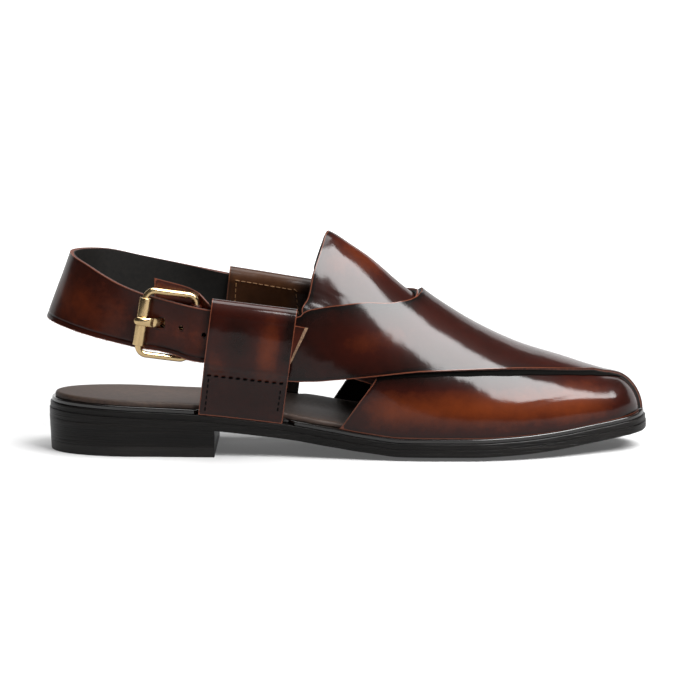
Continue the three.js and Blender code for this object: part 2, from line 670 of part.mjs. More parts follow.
// A keeper: a loop whose tunnel holds the straps, on a stem of two leaves stitched together down to the sole.
function keeper(side) {
  const k = KEEPERS[side];
  const steps = 8;
  const rise = 6;
  const arc = 6;
  const loopRings = [[], []];
  const stemRings = [];
  const at = (x, out, z) => new THREE.Vector3(x, side * out, z);
  for (let i = 0; i <= steps; i++) {
    const t = i / steps;
    const foot = mix(k.backFoot, k.frontFoot, t);
    const head = mix(k.backTop, k.frontTop, t);
    const stitch = mix(k.stitchBack, k.stitchFront, t);
    const top = mix(k.topBack, k.topFront, t);
    const leanAt = (z) => mix(foot, head, (z - 20) / (top - 20));
    const lastOut = (z) => side * lastPoint(leanAt(z), side, shareAtHeight(leanAt(z), side, z)).y;
    const loop = (inset) => {
      const [inner, outer] = [k.inner + inset, k.outer - inset];
      const radius = (outer - inner) / 2;
      const shoulder = top - inset - radius * 0.8;
      const start = stitch + (inset ? 0.3 : -1.5);
      const ring = [];
      const heights = Array.from({ length: rise + 1 }, (_, j) => mix(start, shoulder, j / rise));
      for (const z of heights) ring.push(at(leanAt(z), lastOut(z) + outer, z));
      const centre = lastOut(shoulder) + (outer + inner) / 2;
      for (let j = 1; j < arc; j++) {
        const a = (Math.PI * j) / arc;
        const z = shoulder + radius * 0.8 * Math.sin(a);
        ring.push(at(leanAt(z), centre + radius * Math.cos(a), z));
      }
      for (const z of heights.reverse()) ring.push(at(leanAt(z), lastOut(z) + inner, z));
      return ring;
    };
    loopRings[0].push(loop(0));
    loopRings[1].push(loop(LEAF));
    const sole = topOfSole(foot) + GAP;
    const edge = outlineOf[side](foot) - MIDSOLE_STEP - 0.2;
    const stem = [];
    const levels = [0, 0.25, 0.5, 0.75, 1];
    const ease = (v) => v * v * (1.6 - 0.6 * v);
    const z = (v) => mix(sole, stitch + 1, v);
    for (const v of levels) {
      stem.push(at(leanAt(z(v)), mix(edge, lastOut(stitch) + k.outer, ease(v)), z(v)));
    }
    for (const v of levels.slice().reverse()) {
      stem.push(at(leanAt(z(v)), mix(edge - 2 * LEAF, lastOut(stitch) + k.inner, v ** 1.2), z(v)));
    }
    stemRings.push(stem);
  }
  const loopSolid = solidOf(loft(loopRings[0])).subtract(solidOf(stretched(loopRings[1])));
  return geometryFrom(loopSolid.add(solidOf(loft(stemRings))));
}

// The tunnel as a solid, run past both ends so that it cuts clean through.
function stretched(rings) {
  const past = (ring, next, by) => ring.map((p, i) => p.clone().addScaledVector(p.clone().sub(next[i]).normalize(), by));
  const n = rings.length;
  return loft([past(rings[0], rings[1], 2), ...rings.slice(1, -1), past(rings[n - 1], rings[n - 2], 2)]);
}

// The heel strap, cut open where the prong comes through.
function heelStrap() {
  const columns = 6;
  const along = (row, offset, side) =>
    Array.from({ length: columns + 1 }, (_, j) => {
      const t = j / columns;
      return besideLast(mix(row.lowX, row.topX, t), side, mix(row.low, row.top, t), offset);
    });
  const ends = STRAP_START.map((row) => along(row, STRAP_END_OFFSET, MEDIAL));
  const tail = STRAP_TAIL.map((row) => along(row, STRAP_OFFSET, LATERAL));
  const round = STRAP_ROUND.map(({ low, top }) =>
    Array.from({ length: columns + 1 }, (_, j) =>
      new THREE.Vector3(...low).lerp(new THREE.Vector3(...top), j / columns),
    ),
  );
  const rows = [...ends, ...round, ...tail];
  const curves = Array.from({ length: columns + 1 }, (_, j) => new THREE.CatmullRomCurve3(rows.map((r) => r[j])));
  const steps = 3 * (rows.length - 1);
  const grid = Array.from({ length: steps + 1 }, (_, i) => curves.map((curve) => curve.getPoint(i / steps)));
  const strap = strapSheet(grid, STRAP_THICK);
  const { x, z, length, height } = PRONG_HOLE;
  const slot = new THREE.BoxGeometry(length, 12, height);
  slot.translate(x, -36, z);
  return geometryFrom(solidOf(strap).subtract(solidOf(slot)));
}

// A place in the buckle's own plane: across from the roller bar, and up along it.
function onBuckle(across, up, out = 0) {
  const { x, z, tilt, width, left, right } = BUCKLE;
  const distance = mix(left, right, across / width) + out;
  return new THREE.Vector3(
    x + Math.cos(tilt) * across + Math.sin(tilt) * up, -distance, z - Math.sin(tilt) * across + Math.cos(tilt) * up,
  );
}

// Rings of a round bar along a path of points. joined paths close on themselves.
function barAlong(path, radius, facets, closed = false) {
  const n = path.length;
  const rings = path.map((p, i) => {
    const next = closed ? path[(i + 1) % n] : path[Math.min(n - 1, i + 1)];
    const last = closed ? path[(i + n - 1) % n] : path[Math.max(0, i - 1)];
    const along = next.clone().sub(last).normalize();
    const outward = new THREE.Vector3(0, -1, 0);
    const across = along.clone().cross(outward).normalize();
    const depth = across.clone().cross(along).normalize();
    return Array.from({ length: facets }, (_, j) => {
      const a = (2 * Math.PI * (j + 0.5)) / facets;
      return p.clone().addScaledVector(across, radius * Math.cos(a)).addScaledVector(depth, radius * Math.sin(a));
    });
  });
  return loft(rings, closed);
}

function buckleFrame() {
  const { width, low, high, corner } = BUCKLE;
  const path = [];
  const corners = [
    [width - corner, high - corner, 0], [corner, high - corner, 1], [corner, low + corner, 2], [width - corner, low + corner, 3],
  ];
  for (const [across, up, quarter] of corners) {
    for (let j = 0; j <= 4; j++) {
      const a = (Math.PI / 2) * (quarter + j / 4);
      path.push(onBuckle(across + corner * Math.cos(a), up + corner * Math.sin(a)));
    }
  }
  return barAlong(path, FRAME_BAR, 8, true);
}

// A sleeve round a bar of the buckle.
function sleeve(across, from, to, radius, bore, facets = 24) {
  const ends = [onBuckle(across, from), onBuckle(across, to)];
  const overlong = [onBuckle(across, from - 1), onBuckle(across, to + 1)];
  return geometryFrom(solidOf(barAlong(ends, radius, facets)).subtract(solidOf(barAlong(overlong, bore, facets))));
}

function buckleRoller() {
  const middle = (BUCKLE.low + BUCKLE.high) / 2;
  return sleeve(0, middle - ROLLER_LENGTH / 2 + 1.6, middle + ROLLER_LENGTH / 2 - 1.6, ROLLER_RADIUS, ROLLER_BORE);
}

// The tab: a flap from the lateral keeper to behind the buckle, folded round the bar either side of the prong.
function buckleTab() {
  const inKeeper = [48, 54, 61].map((x) => ({ x, low: 50.5, top: 70.5 - 0.2 * (x - 48) }));
  const rows = [
    ...TAB_BACK.map(({ x, low, top, out }) => [0, 0.25, 0.5, 0.75, 1].map((t) => new THREE.Vector3(x, -out, mix(low, top, t)))),
    ...inKeeper.map(({ x, low, top }) =>
      [0, 0.25, 0.5, 0.75, 1].map((t) => besideLast(x, LATERAL, mix(low, top, t), TAB_OFFSET)),
    ),
  ];
  const flap = strapSheet(rows, TAB_THICK);
  const bore = FRAME_BAR + 0.25;
  const upperWrap = sleeve(BUCKLE.width, 4.2, 12.4, BAR_WRAP, bore, 16);
  const lowerWrap = sleeve(BUCKLE.width, -11.2, -1.8, BAR_WRAP, bore, 16);
  return joined(flap, upperWrap, lowerWrap);
}

// The prong turns on the bar between the tab's wraps, comes through the strap and rests on the roller.
function buckleProng() {
  const eye = sleeve(BUCKLE.width, PRONG_UP - 2.6, PRONG_UP + 2.6, BAR_WRAP - 0.4, FRAME_BAR + 0.25, 16);
  const rings = PRONG.map(({ across, out, thick, wide }, i) => {
    const before = PRONG[Math.max(0, i - 1)];
    const after = PRONG[Math.min(PRONG.length - 1, i + 1)];
    const along = new THREE.Vector2(after.across - before.across, after.out - before.out).normalize();
    return Array.from({ length: 12 }, (_, j) => {
      const a = (2 * Math.PI * (j + 0.5)) / 12;
      const lift = thick * Math.sin(a);
      const p = onBuckle(across - along.y * lift, PRONG_UP + wide * Math.cos(a));
      return p.setY(-(out - along.x * lift));
    });
  });
  return joined(eye, loft(rings));
}

function piece(name, geometry, colour, roughness, metalness = 0) {
  const material = new THREE.MeshStandardMaterial({ color: colour, roughness, metalness });
  const mesh = new THREE.Mesh(geometry, material);
  mesh.name = name;
  return mesh;
}

const LEATHER = 0x5a2412;
const STRAP_LEATHER = 0x4a2014;
const SOLE_BLACK = 0x1d1b19;
const SOCK_BROWN = 0x46352c;
const BRASS = 0xc79a4e;

const shoe = new THREE.Group();
shoe.add(
  piece("outsole", outsole(), SOLE_BLACK, 0.5),
  piece("midsole", midsole(), SOLE_BLACK, 0.5),
  piece("insole_board", insoleBoard(), SOLE_BLACK, 0.35),
  piece("heel_stack", heelSlice(() => TOP_PIECE_THICK + GAP, (x) => undersideAt(x) - GAP), SOLE_BLACK, 0.5),
  piece("heel_top_piece", heelSlice(() => 0, () => TOP_PIECE_THICK), SOLE_BLACK, 0.6),
  piece("insole", insole(), SOCK_BROWN, 0.7),
  piece("upper", upper(), LEATHER, 0.25),
  piece("tongue", tongue(), LEATHER, 0.25),
  piece("keeper_lateral", keeper(LATERAL), LEATHER, 0.35),
  piece("keeper_medial", keeper(MEDIAL), LEATHER, 0.35),
  piece("heel_strap", heelStrap(), STRAP_LEATHER, 0.45),
  piece("buckle_tab", buckleTab(), STRAP_LEATHER, 0.45),
  piece("buckle_frame", buckleFrame(), BRASS, 0.2, 1),
  piece("buckle_roller", buckleRoller(), BRASS, 0.2, 1),
  piece("buckle_prong", buckleProng(), BRASS, 0.2, 1),
);

export default shoe;
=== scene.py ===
"""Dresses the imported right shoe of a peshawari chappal: leather bands, keepers, strap, buckle and sole.

Sizes are millimetres in the shoe's own frame, +X to the toe, +Y to the medial side, +Z up, and become metres
when a mesh is made. Shapes are worked out with numpy on grids over the last, the form that the upper is made on.
"""

import logging
import math
from dataclasses import dataclass, field
from enum import Enum
from typing import Callable, Optional, Sequence

import bpy
import numpy as np
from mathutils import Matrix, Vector


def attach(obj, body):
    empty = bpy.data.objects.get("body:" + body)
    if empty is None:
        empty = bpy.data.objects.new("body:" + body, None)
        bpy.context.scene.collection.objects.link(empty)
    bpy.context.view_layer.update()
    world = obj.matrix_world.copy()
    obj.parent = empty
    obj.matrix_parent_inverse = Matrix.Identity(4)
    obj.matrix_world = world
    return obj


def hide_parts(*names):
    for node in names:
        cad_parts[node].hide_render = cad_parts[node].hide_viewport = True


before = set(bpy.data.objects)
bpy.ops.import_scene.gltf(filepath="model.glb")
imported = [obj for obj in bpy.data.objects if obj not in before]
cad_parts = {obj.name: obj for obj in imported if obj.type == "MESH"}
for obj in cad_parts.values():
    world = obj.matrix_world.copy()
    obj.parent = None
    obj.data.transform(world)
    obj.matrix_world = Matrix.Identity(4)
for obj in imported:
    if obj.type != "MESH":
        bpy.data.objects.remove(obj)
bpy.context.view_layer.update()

Array = np.ndarray
Material = bpy.types.Material
Socket = bpy.types.NodeSocket
Surface = Callable[[Array, Array], Array]  # a height over x and y
Finishes = dict[str, Material]
LOG = logging.getLogger("chappal")
MM = 0.001  # metres
GAP = 0.3  # clearance between pieces that touch
WELD = 1e-4  # points closer than this become one
SHARP = math.radians(40)  # an edge that turns more is drawn sharp
SEED = 43
FOURTH_SLOT = 3  # after a sheet's outside, cut edge and lining: the keeper's inner leaf, the strap's torn end


class Side(Enum):
    """The two sides of the shoe, as the sign of Y."""

    LATERAL = -1
    MEDIAL = 1


def smooth(low: float, high: float, x: Array) -> Array:
    """Rises from 0 at low to 1 at high as 3t^2 - 2t^3."""
    t = np.clip((np.asarray(x, float) - low) / (high - low), 0, 1)
    return t * t * (3 - 2 * t)


def mix(a: Array, b: Array, t: Array) -> Array:
    """Linear blend from a at t = 0 to b at t = 1."""
    return a + (b - a) * t


def bump(x: Array, centre: float, width: float) -> Array:
    """A bell of height 1: exp(-((x - centre) / width)^2)."""
    return np.exp(-(((np.asarray(x, float) - centre) / width) ** 2))


def unit(v: Array) -> Array:
    """Vectors along the last axis, scaled to length 1."""
    return v / np.maximum(np.linalg.norm(v, axis=-1, keepdims=True), 1e-12)


@dataclass(frozen=True)
class Curve:
    """A monotone cubic through the rows of a table.

    Between two rows y = y0(1+2t)u^2 + y1 t^2(3-2t) + h t u (m0 u - m1 t), u = 1 - t, and each inner tangent m
    is the harmonic mean of the slopes on its two sides, or 0 where they disagree.
    """

    xs: tuple[float, ...]
    ys: tuple[float, ...]

    def __call__(self, x: Array) -> Array:
        """Values at x, held level past both ends.

        Args:
            x: positions.

        Returns:
            A value for each.
        """
        xs, ys = np.array(self.xs), np.array(self.ys)
        slopes = np.diff(ys) / np.diff(xs)
        a, b = slopes[:-1], slopes[1:]
        inner = np.where(a * b > 0, 2 * a * b / np.where(a + b == 0, 1, a + b), 0)
        m = np.concatenate([slopes[:1], inner, slopes[-1:]])
        at = np.clip(np.asarray(x, float), xs[0], xs[-1])
        i = np.clip(np.searchsorted(xs, at, side="right") - 1, 0, len(slopes) - 1)
        h = xs[i + 1] - xs[i]
        t = (at - xs[i]) / h
        u = 1 - t
        cubic = ys[i] * (1 + 2 * t) * u * u + ys[i + 1] * t * t * (3 - 2 * t)
        return cubic + h * t * u * (m[i] * u - m[i + 1] * t)


def curves(names: str, rows: Sequence[Sequence[float]]) -> dict[str, Curve]:
    """Turns a table, whose first column is the position, into one curve for each other named column.

    Args:
        names: the column names after the first, separated by spaces.
        rows: the table's rows.

    Returns:
        The curves by name.
    """
    table = np.array(rows, float)
    xs = tuple(table[:, 0])
    return {n: Curve(xs, tuple(table[:, i + 1])) for i, n in enumerate(names.split())}


@dataclass
class Last:
    """The form of the foot that the sandal is made on, with the sole's outline under it."""

    heel_back: float = -41.5
    toe_tip: float = 260.5
    heel_round: float = 46
    nose_round: float = 12
    last_tip: float = 254.4
    outsole: float = 4.2
    midsole: float = 2.8
    board: float = 2
    dish: float = 1.5  # how far the sole's edges curl up at the ball
    dish_from: float = 0.62  # share of the half width at which the curl starts
    keeper_inset: float = 2.1  # from the sole's edge to the last, at the keepers
    feather_inset: float = 4.6  # and ahead of them
    nose_width_round: float = 14
    nose_height_round: float = 10
    # half widths of the sole on both sides, and where the ridge of the upper runs
    outline: dict[str, Curve] = field(default_factory=lambda: curves("lateral medial middle", (
        (-41.5, 31, 31, 0), (-15, 29.3, 29.3, 0), (5, 29.2, 29.2, 0), (43, 31, 30.5, 0), (75, 31.5, 29.5, 0),
        (100, 35, 33.5, 0.4), (125, 39.5, 42, 1.5), (150, 42.3, 50, 2.6), (170, 42.6, 53, 3.4),
        (190, 40, 51.5, 4), (210, 34, 46, 4.5), (230, 25, 37, 4.8), (245, 17, 28, 5), (260.5, 9, 19, 5))))
    underside: dict[str, Curve] = field(default_factory=lambda: curves("z", (
        (-41.5, 17.2), (-14, 16.1), (11, 15), (36, 13.9), (51, 12.5), (66, 10.8), (84, 8.6), (102, 5.5),
        (115.6, 2.6), (136, 0), (172, 0), (193, 0.7), (214, 2.3), (233.6, 4.8), (260.5, 9.6))))
    # ridge height, share of the height at which the side turns in, bulge of the side, share of flat roof
    sections: dict[str, Curve] = field(default_factory=lambda: curves("ridge wall swell roof", (
        (30, 120, 0.62, 13.5, 0.62), (60, 120, 0.62, 13.5, 0.62), (85, 118, 0.6, 12, 0.46),
        (100, 111.5, 0.6, 10, 0.36), (110.5, 104.2, 0.6, 8.2, 0.35), (120.8, 96.9, 0.6, 6.5, 0.34),
        (137.9, 82.2, 0.6, 5, 0.36), (153.6, 70.5, 0.6, 4, 0.4), (174.5, 57.7, 0.64, 3.5, 0.46),
        (195.8, 48, 0.68, 3.5, 0.5), (215.1, 41.9, 0.72, 3.2, 0.54), (237.7, 34.9, 0.76, 2.4, 0.58),
        (254.4, 31.6, 0.78, 1.6, 0.6))))

    def half_width(self, x: Array, side: Array) -> Array:
        """The outline's distance from the heel-to-toe line on a side."""
        return np.where(np.asarray(side) < 0, self.outline["lateral"](x), self.outline["medial"](x))

    def middle(self, x: Array) -> Array:
        """The Y of the ridge line."""
        return self.outline["middle"](x)

    def under(self, x: Array) -> Array:
        """The height of the outsole's underside on the middle line."""
        return self.underside["z"](x)

    def top_of_sole(self, x: Array) -> Array:
        """The height of the midsole's top on the middle line."""
        return self.under(x) + self.outsole + self.midsole + GAP

    def top_of_board(self, x: Array) -> Array:
        """The height of the black board's top on the middle line."""
        return self.top_of_sole(x) + GAP + self.board

    def reach(self, x: Array, side: Array, inset: float = 0) -> Array:
        """Distance from the ridge line to the sole's edge: the table, closed by a round heel and a blunt toe.

        Args:
            x: positions along the shoe.
            side: -1 or 1.
            inset: how far inside the edge.

        Returns:
            Distances, 0 past both ends.
        """
        first, final = self.heel_back + inset, self.toe_tip - inset
        heel = np.clip((first + self.heel_round - x) / self.heel_round, 0, 1)
        nose = np.clip((x - final + self.nose_round) / self.nose_round, 0, 1)
        close = np.sqrt(1 - heel * heel) * np.sqrt(np.clip(1 - nose**2.6, 0, 1))
        return np.maximum(0, self.half_width(x, side) - inset - side * self.middle(x)) * close

    def curl(self, x: Array, y: Array, amount: float) -> Array:
        """A lift of the sole's edges from the ball on, which grows linearly from a share of the half width.

        Args:
            x: positions along the shoe.
            y: positions across it.
            amount: the lift at the edge.

        Returns:
            Lifts in mm.
        """
        side = np.where(y < self.middle(x), -1, 1)
        share = np.abs(y - self.middle(x)) / (self.half_width(x, side) - side * self.middle(x))
        return amount * smooth(92, 128, x) * np.clip((share - self.dish_from) / (1 - self.dish_from), 0, 1)

    def dish_at(self, x: Array, y: Array) -> Array:
        """How far the sole's edges curl up at the ball, fading out towards the toe."""
        return self.curl(x, y, self.dish) * (1 - smooth(225, 260, x))

    def close(self, x: Array, length: float, power: float = 2) -> Array:
        """How far the toe box has closed: sqrt(1 - t^power) over the given length before the tip."""
        t = np.maximum(0, (x - self.last_tip + length) / length)
        return np.sqrt(np.clip(1 - t**power, 0, 1))

    def point(self, x: Array, side: Array, share: Array) -> Array:
        """A place of the last.

        Each half section is a cubic Bezier from the feather edge, by the bulge and the roof, to the ridge.

        Args:
            x: positions along the shoe.
            side: -1 or 1.
            share: 0 at the sole to 1 at the ridge.

        Returns:
            Points, with a last axis of 3.
        """
        x, side, share = np.broadcast_arrays(*(np.asarray(v, float) for v in (x, side, share)))
        close = self.close(x, self.nose_width_round, 2.4)
        inset = mix(self.keeper_inset, self.feather_inset, smooth(82, 104, x))
        width = np.maximum(0, self.half_width(x, side) - inset - side * self.middle(x)) * close
        foot = self.top_of_board(x) + self.dish_at(x, self.middle(x) + side * width)
        height = (self.sections["ridge"](x) - foot) * self.close(x, self.nose_height_round)
        swell = self.sections["swell"](x) * close
        outs = (width, width + swell, self.sections["roof"](x) * width, 0 * width)
        ups = (foot, foot + self.sections["wall"](x) * height, foot + height, foot + height)
        u = 1 - share
        w = (u**3, 3 * share * u * u, 3 * share * share * u, share**3)
        out = sum(a * b for a, b in zip(w, outs))
        up = sum(a * b for a, b in zip(w, ups))
        return np.stack([x, self.middle(x) + side * out, up], -1)

    def normal(self, x: Array, side: Array, share: Array) -> Array:
        """The outward normal, from differences up and along the last. It points ahead at the nose.

        Args:
            x: positions along the shoe.
            side: -1 or 1.
            share: 0 at the sole to 1 at the ridge.

        Returns:
            Unit vectors.
        """
        x, side, share = np.broadcast_arrays(*(np.asarray(v, float) for v in (x, side, share)))
        up = self.point(x, side, np.minimum(1, share + 0.02)) - self.point(x, side, np.maximum(0, share - 0.02))
        back = np.clip((self.last_tip - x) * 0.4, 0.01, 1)
        along = self.point(x + back * 0.5, side, share) - self.point(x - back, side, share)
        n = np.cross(up, along)
        n = np.where((side < 0)[..., None], -n, n)
        n[..., 1] = np.where(share > 0.999, 0, n[..., 1])
        n = unit(n)
        return np.where((x > self.last_tip - 0.05)[..., None], np.array([1.0, 0, 0]), n)

    def off(self, x: Array, side: Array, share: Array, distance: Array) -> Array:
        """Points a distance outside the last, never lower than just above the board.

        Args:
            x: positions along the shoe.
            side: -1 or 1.
            share: 0 at the sole to 1 at the ridge.
            distance: how far outside.

        Returns:
            Points.
        """
        p = self.point(x, side, share) + self.normal(x, side, share) * np.asarray(distance)[..., None]
        floor = self.top_of_board(p[..., 0]) + self.dish_at(p[..., 0], p[..., 1]) + GAP
        p[..., 2] = np.maximum(p[..., 2], floor)
        return p

    def share_at(self, x: Array, side: Array, height: Array) -> Array:
        """The share of the way up at which the last reaches a height, by halving the interval 30 times.

        Args:
            x: positions along the shoe.
            side: -1 or 1.
            height: heights to find.

        Returns:
            Shares from 0 to 1.
        """
        x, side, height = np.broadcast_arrays(*(np.asarray(v, float) for v in (x, side, height)))
        low, high = np.zeros(x.shape), np.ones(x.shape)
        for _ in range(30):
            middle = (low + high) / 2
            below = self.point(x, side, middle)[..., 2] < height
            low, high = np.where(below, middle, low), np.where(below, high, middle)
        return (low + high) / 2

    def beside(self, x: Array, side: float, height: Array, out: Array) -> Array:
        """Points at a height, a distance sideways from the last.

        Args:
            x: positions along the shoe.
            side: -1 or 1.
            height: the heights.
            out: how far outwards.

        Returns:
            Points.
        """
        x, height = np.broadcast_arrays(np.asarray(x, float), np.asarray(height, float))
        p = self.point(x, side, self.share_at(x, side, height))
        return np.stack([x, p[..., 1] + side * out, height], -1)


LAST = Last()


# Meshes


@dataclass
class Mesh:
    """Points, faces and what the materials read at each point.

    tone runs from 0, burnished black, to 1, warm brown, and in places carries painted shade. rim is the distance to
    the nearest cut edge.
    """

    points: Array
    faces: Array  # rows of four point numbers, the last two equal in a triangle
    slots: Array
    tone: Optional[Array] = None
    rim: Optional[Array] = None

    @staticmethod
    def join(*parts: "Mesh") -> "Mesh":
        """One mesh of several, with their points numbered on.

        Args:
            *parts: the meshes.

        Returns:
            The joined mesh.
        """
        starts = np.cumsum([0] + [len(p.points) for p in parts[:-1]])
        filled = [(p.tone if p.tone is not None else np.full(len(p.points), 0.5),
                   p.rim if p.rim is not None else np.full(len(p.points), 9.0)) for p in parts]
        return Mesh(
            np.concatenate([p.points for p in parts]),
            np.concatenate([p.faces + s for p, s in zip(parts, starts)]),
            np.concatenate([p.slots for p in parts]),
            np.concatenate([t for t, _ in filled]),
            np.concatenate([r for _, r in filled]),
        )


def index_quads(index: Array) -> Array:
    """Quads between neighbours in a table of point numbers."""
    return np.stack([index[:-1, :-1], index[:-1, 1:], index[1:, 1:], index[1:, :-1]], -1).reshape(-1, 4)


def grid_faces(rows: int, columns: int, wrap_rows: bool = False, wrap_columns: bool = False) -> Array:
    """Quads of a grid stored row by row, closed into a ring along either way if asked.

    Args:
        rows: of the grid.
        columns: of the grid.
        wrap_rows: join the last row to the first.
        wrap_columns: the same for columns.

    Returns:
        Rows of four point numbers.
    """
    table = np.arange(rows * columns).reshape(rows, columns)
    table = np.concatenate([table, table[:1]]) if wrap_rows else table
    return index_quads(np.concatenate([table, table[:, :1]], 1) if wrap_columns else table)


def thick_sheet(outer: Array, inner: Array, quads: Optional[Array] = None, bulge: float = 0.3,
                split: float = 0.5, tone: Optional[Array] = None, back: float = 0.0) -> Mesh:
    """A leather sheet: an outside, a lining and a cut edge with rounded corners.

    The edge's profile is the superellipse c + h sgn(cos a)|cos a|^0.55 + o b (sin a)^0.55, where c is the
    middle of the thickness, h half of it, o the direction out of the sheet and b the bulge.

    Args:
        outer: the outside's points, in a list or a grid.
        inner: the lining's points, stored alike.
        quads: the quads of both, or those of the grid.
        bulge: how far the cut edge stands out, in mm.
        split: the share of the edge, from the outside, that is leather and not lining.
        tone: the burnish at each outer point, with painted shade in places.
        back: how far the lining's part of the edge is set back, in mm.

    Returns:
        A closed mesh with slots 0 outside, 1 cut edge, 2 lining.
    """
    quads = grid_faces(*outer.shape[:2]) if quads is None else quads
    outer, inner = outer.reshape(-1, 3), inner.reshape(-1, 3)
    n = len(outer)
    edges = np.concatenate([quads[:, [0, 1]], quads[:, [1, 2]], quads[:, [2, 3]], quads[:, [3, 0]]])
    edges = edges[edges[:, 0] != edges[:, 1]]
    key, twin = edges[:, 0] * n + edges[:, 1], edges[:, 1] * n + edges[:, 0]
    free = edges[~np.isin(key, twin)]
    border = np.unique(free)
    number = np.full(n, -1)
    number[border] = np.arange(len(border))
    mid = (outer + inner) / 2
    run = mid[free[:, 1]] - mid[free[:, 0]]
    out = np.zeros_like(outer)
    across = unit(np.cross(run, (outer - inner)[free[:, 0]]))
    np.add.at(out, free[:, 0], across)
    np.add.at(out, free[:, 1], across)
    out = unit(out[border])
    half = (outer - inner)[border] / 2
    angles = np.linspace(0, math.pi, 11)[1:-1]
    cosine, sine = np.cos(angles), np.sin(angles)
    reach = bulge * sine**0.55 - back * smooth(split - 0.08, split + 0.08, (1 - cosine) / 2)
    side = np.sign(cosine) * np.abs(cosine) ** 0.55
    profile = mid[border][None] + half[None] * side[:, None, None] + out[None] * reach[:, None, None]
    points = np.concatenate([outer, inner, profile.reshape(-1, 3)])
    levels = [np.arange(n)] + [2 * n + k * len(border) + number for k in range(len(angles))] + [np.arange(n) + n]
    faces, slots = [quads, quads[:, ::-1] + n], [np.zeros(len(quads), int), np.full(len(quads), 2)]
    p, q = free[:, 0], free[:, 1]
    for k in range(len(levels) - 1):
        a, b = levels[k], levels[k + 1]
        faces.append(np.stack([a[p], b[p], b[q], a[q]], -1))
        slots.append(np.full(len(free), 1 if (k + 0.5) / len(levels) < split else 2))
    distance = rim_distance(outer, outer[border])
    tone = np.full(n, 0.5) if tone is None else np.ravel(tone)
    return Mesh(
        points, np.concatenate(faces), np.concatenate(slots),
        np.concatenate([tone, tone, np.tile(tone[border], len(angles))]),
        np.concatenate([distance, distance, np.zeros(len(angles) * len(border))]),
    )


def rim_distance(points: Array, rim: Array) -> Array:
    """Distance from each point to the nearest rim point, in blocks to save memory."""
    blocks = np.array_split(points, max(1, len(points) // 2000))
    return np.concatenate([np.sqrt(((b[:, None] - rim[None]) ** 2).sum(-1).min(1)) for b in blocks])


def welded(mesh: Mesh) -> Mesh:
    """Merges points at one place, and turns quads that lose a side into triangles or drops them.

    Args:
        mesh: any mesh.

    Returns:
        The merged mesh, with each place's first tone and rim.
    """
    key = np.round(mesh.points / WELD).astype(np.int64)
    _, first, inverse = np.unique(key, axis=0, return_index=True, return_inverse=True)
    faces = inverse.reshape(-1)[mesh.faces]
    same = faces == np.roll(faces, -1, axis=1)
    for k in range(3):
        rows = same[:, k]
        faces[rows, k + 1:] = np.concatenate([faces[rows, k + 2:], faces[rows, 3:]], 1)
        same = faces == np.roll(faces, -1, axis=1)
    faces[:, 3] = np.where(same[:, 3], faces[:, 2], faces[:, 3])
    a, b, c = faces[:, 0], faces[:, 1], faces[:, 2]
    keep = (a != b) & (b != c) & (a != c)
    tone, rim = (None if v is None else v[first] for v in (mesh.tone, mesh.rim))
    return Mesh(mesh.points[first], faces[keep], mesh.slots[keep], tone, rim)


def mesh_data(name: str, mesh: Mesh) -> bpy.types.Mesh:
    """Blender's mesh of a Mesh, in metres, with its quads first and its triangles after them.

    Args:
        name: its name.
        mesh: a mesh in millimetres.

    Returns:
        The data.
    """
    data = bpy.data.meshes.new(name)
    triangle = mesh.faces[:, 2] == mesh.faces[:, 3]
    faces = mesh.faces[~triangle].tolist() + mesh.faces[triangle][:, :3].tolist()
    slots = np.concatenate([mesh.slots[~triangle], mesh.slots[triangle]])
    data.from_pydata((mesh.points * MM).tolist(), [], faces)
    data.polygons.foreach_set("material_index", slots.astype(np.int32))
    return data


def linked(name: str, data: bpy.types.ID) -> bpy.types.Object:
    """A new object in the scene.

    Args:
        name: its name.
        data: a mesh, a light or a camera.

    Returns:
        The object.
    """
    thing = bpy.data.objects.new(name, data)
    bpy.context.scene.collection.objects.link(thing)
    return thing


def make(name: str, mesh: Mesh, materials: Sequence[Material],
         replaces: Sequence[str] = ()) -> bpy.types.Object:
    """Makes the Blender object of a piece, rides it on the body and hides the CAD parts that it stands for.

    Args:
        name: the piece's name.
        mesh: its shape in millimetres.
        materials: one per slot number.
        replaces: CAD nodes that it stands for.

    Returns:
        The object.
    """
    mesh = facing_out(welded(mesh))
    data = mesh_data(name, mesh)
    data.polygons.foreach_set("use_smooth", np.ones(len(data.polygons), bool))
    for label, values in (("tone", mesh.tone), ("rim", mesh.rim)):
        if values is not None:
            layer = data.attributes.new(label, "FLOAT", "POINT")
            layer.data.foreach_set("value", values.astype(np.float32))
    for material in materials:
        data.materials.append(material)
    data.update()
    data.set_sharp_from_angle(angle=SHARP)
    piece = linked(name, data)
    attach(piece, "root")
    if replaces:
        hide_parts(*replaces)
    LOG.info("%s: %d faces", name, len(data.polygons))
    return piece


def facing_out(mesh: Mesh) -> Mesh:
    """Turns all faces round where the signed volume of the closed mesh is negative.

    Args:
        mesh: a closed mesh.

    Returns:
        The same mesh.
    """
    p = mesh.points[mesh.faces]
    volume = (np.cross(p[:, 0], p[:, 1]) * p[:, 2]).sum() + (np.cross(p[:, 0], p[:, 2]) * p[:, 3]).sum()
    if volume < 0:
        triangle = mesh.faces[:, 2] == mesh.faces[:, 3]
        mesh.faces[~triangle] = mesh.faces[~triangle][:, ::-1]
        mesh.faces[triangle] = mesh.faces[triangle][:, [1, 0, 2, 3]]
    return mesh


def solid(points: Array, faces: Array) -> Mesh:
    """A closed mesh of one slot, turned to face out."""
    return facing_out(Mesh(points.reshape(-1, 3), faces, np.zeros(len(faces), int)))


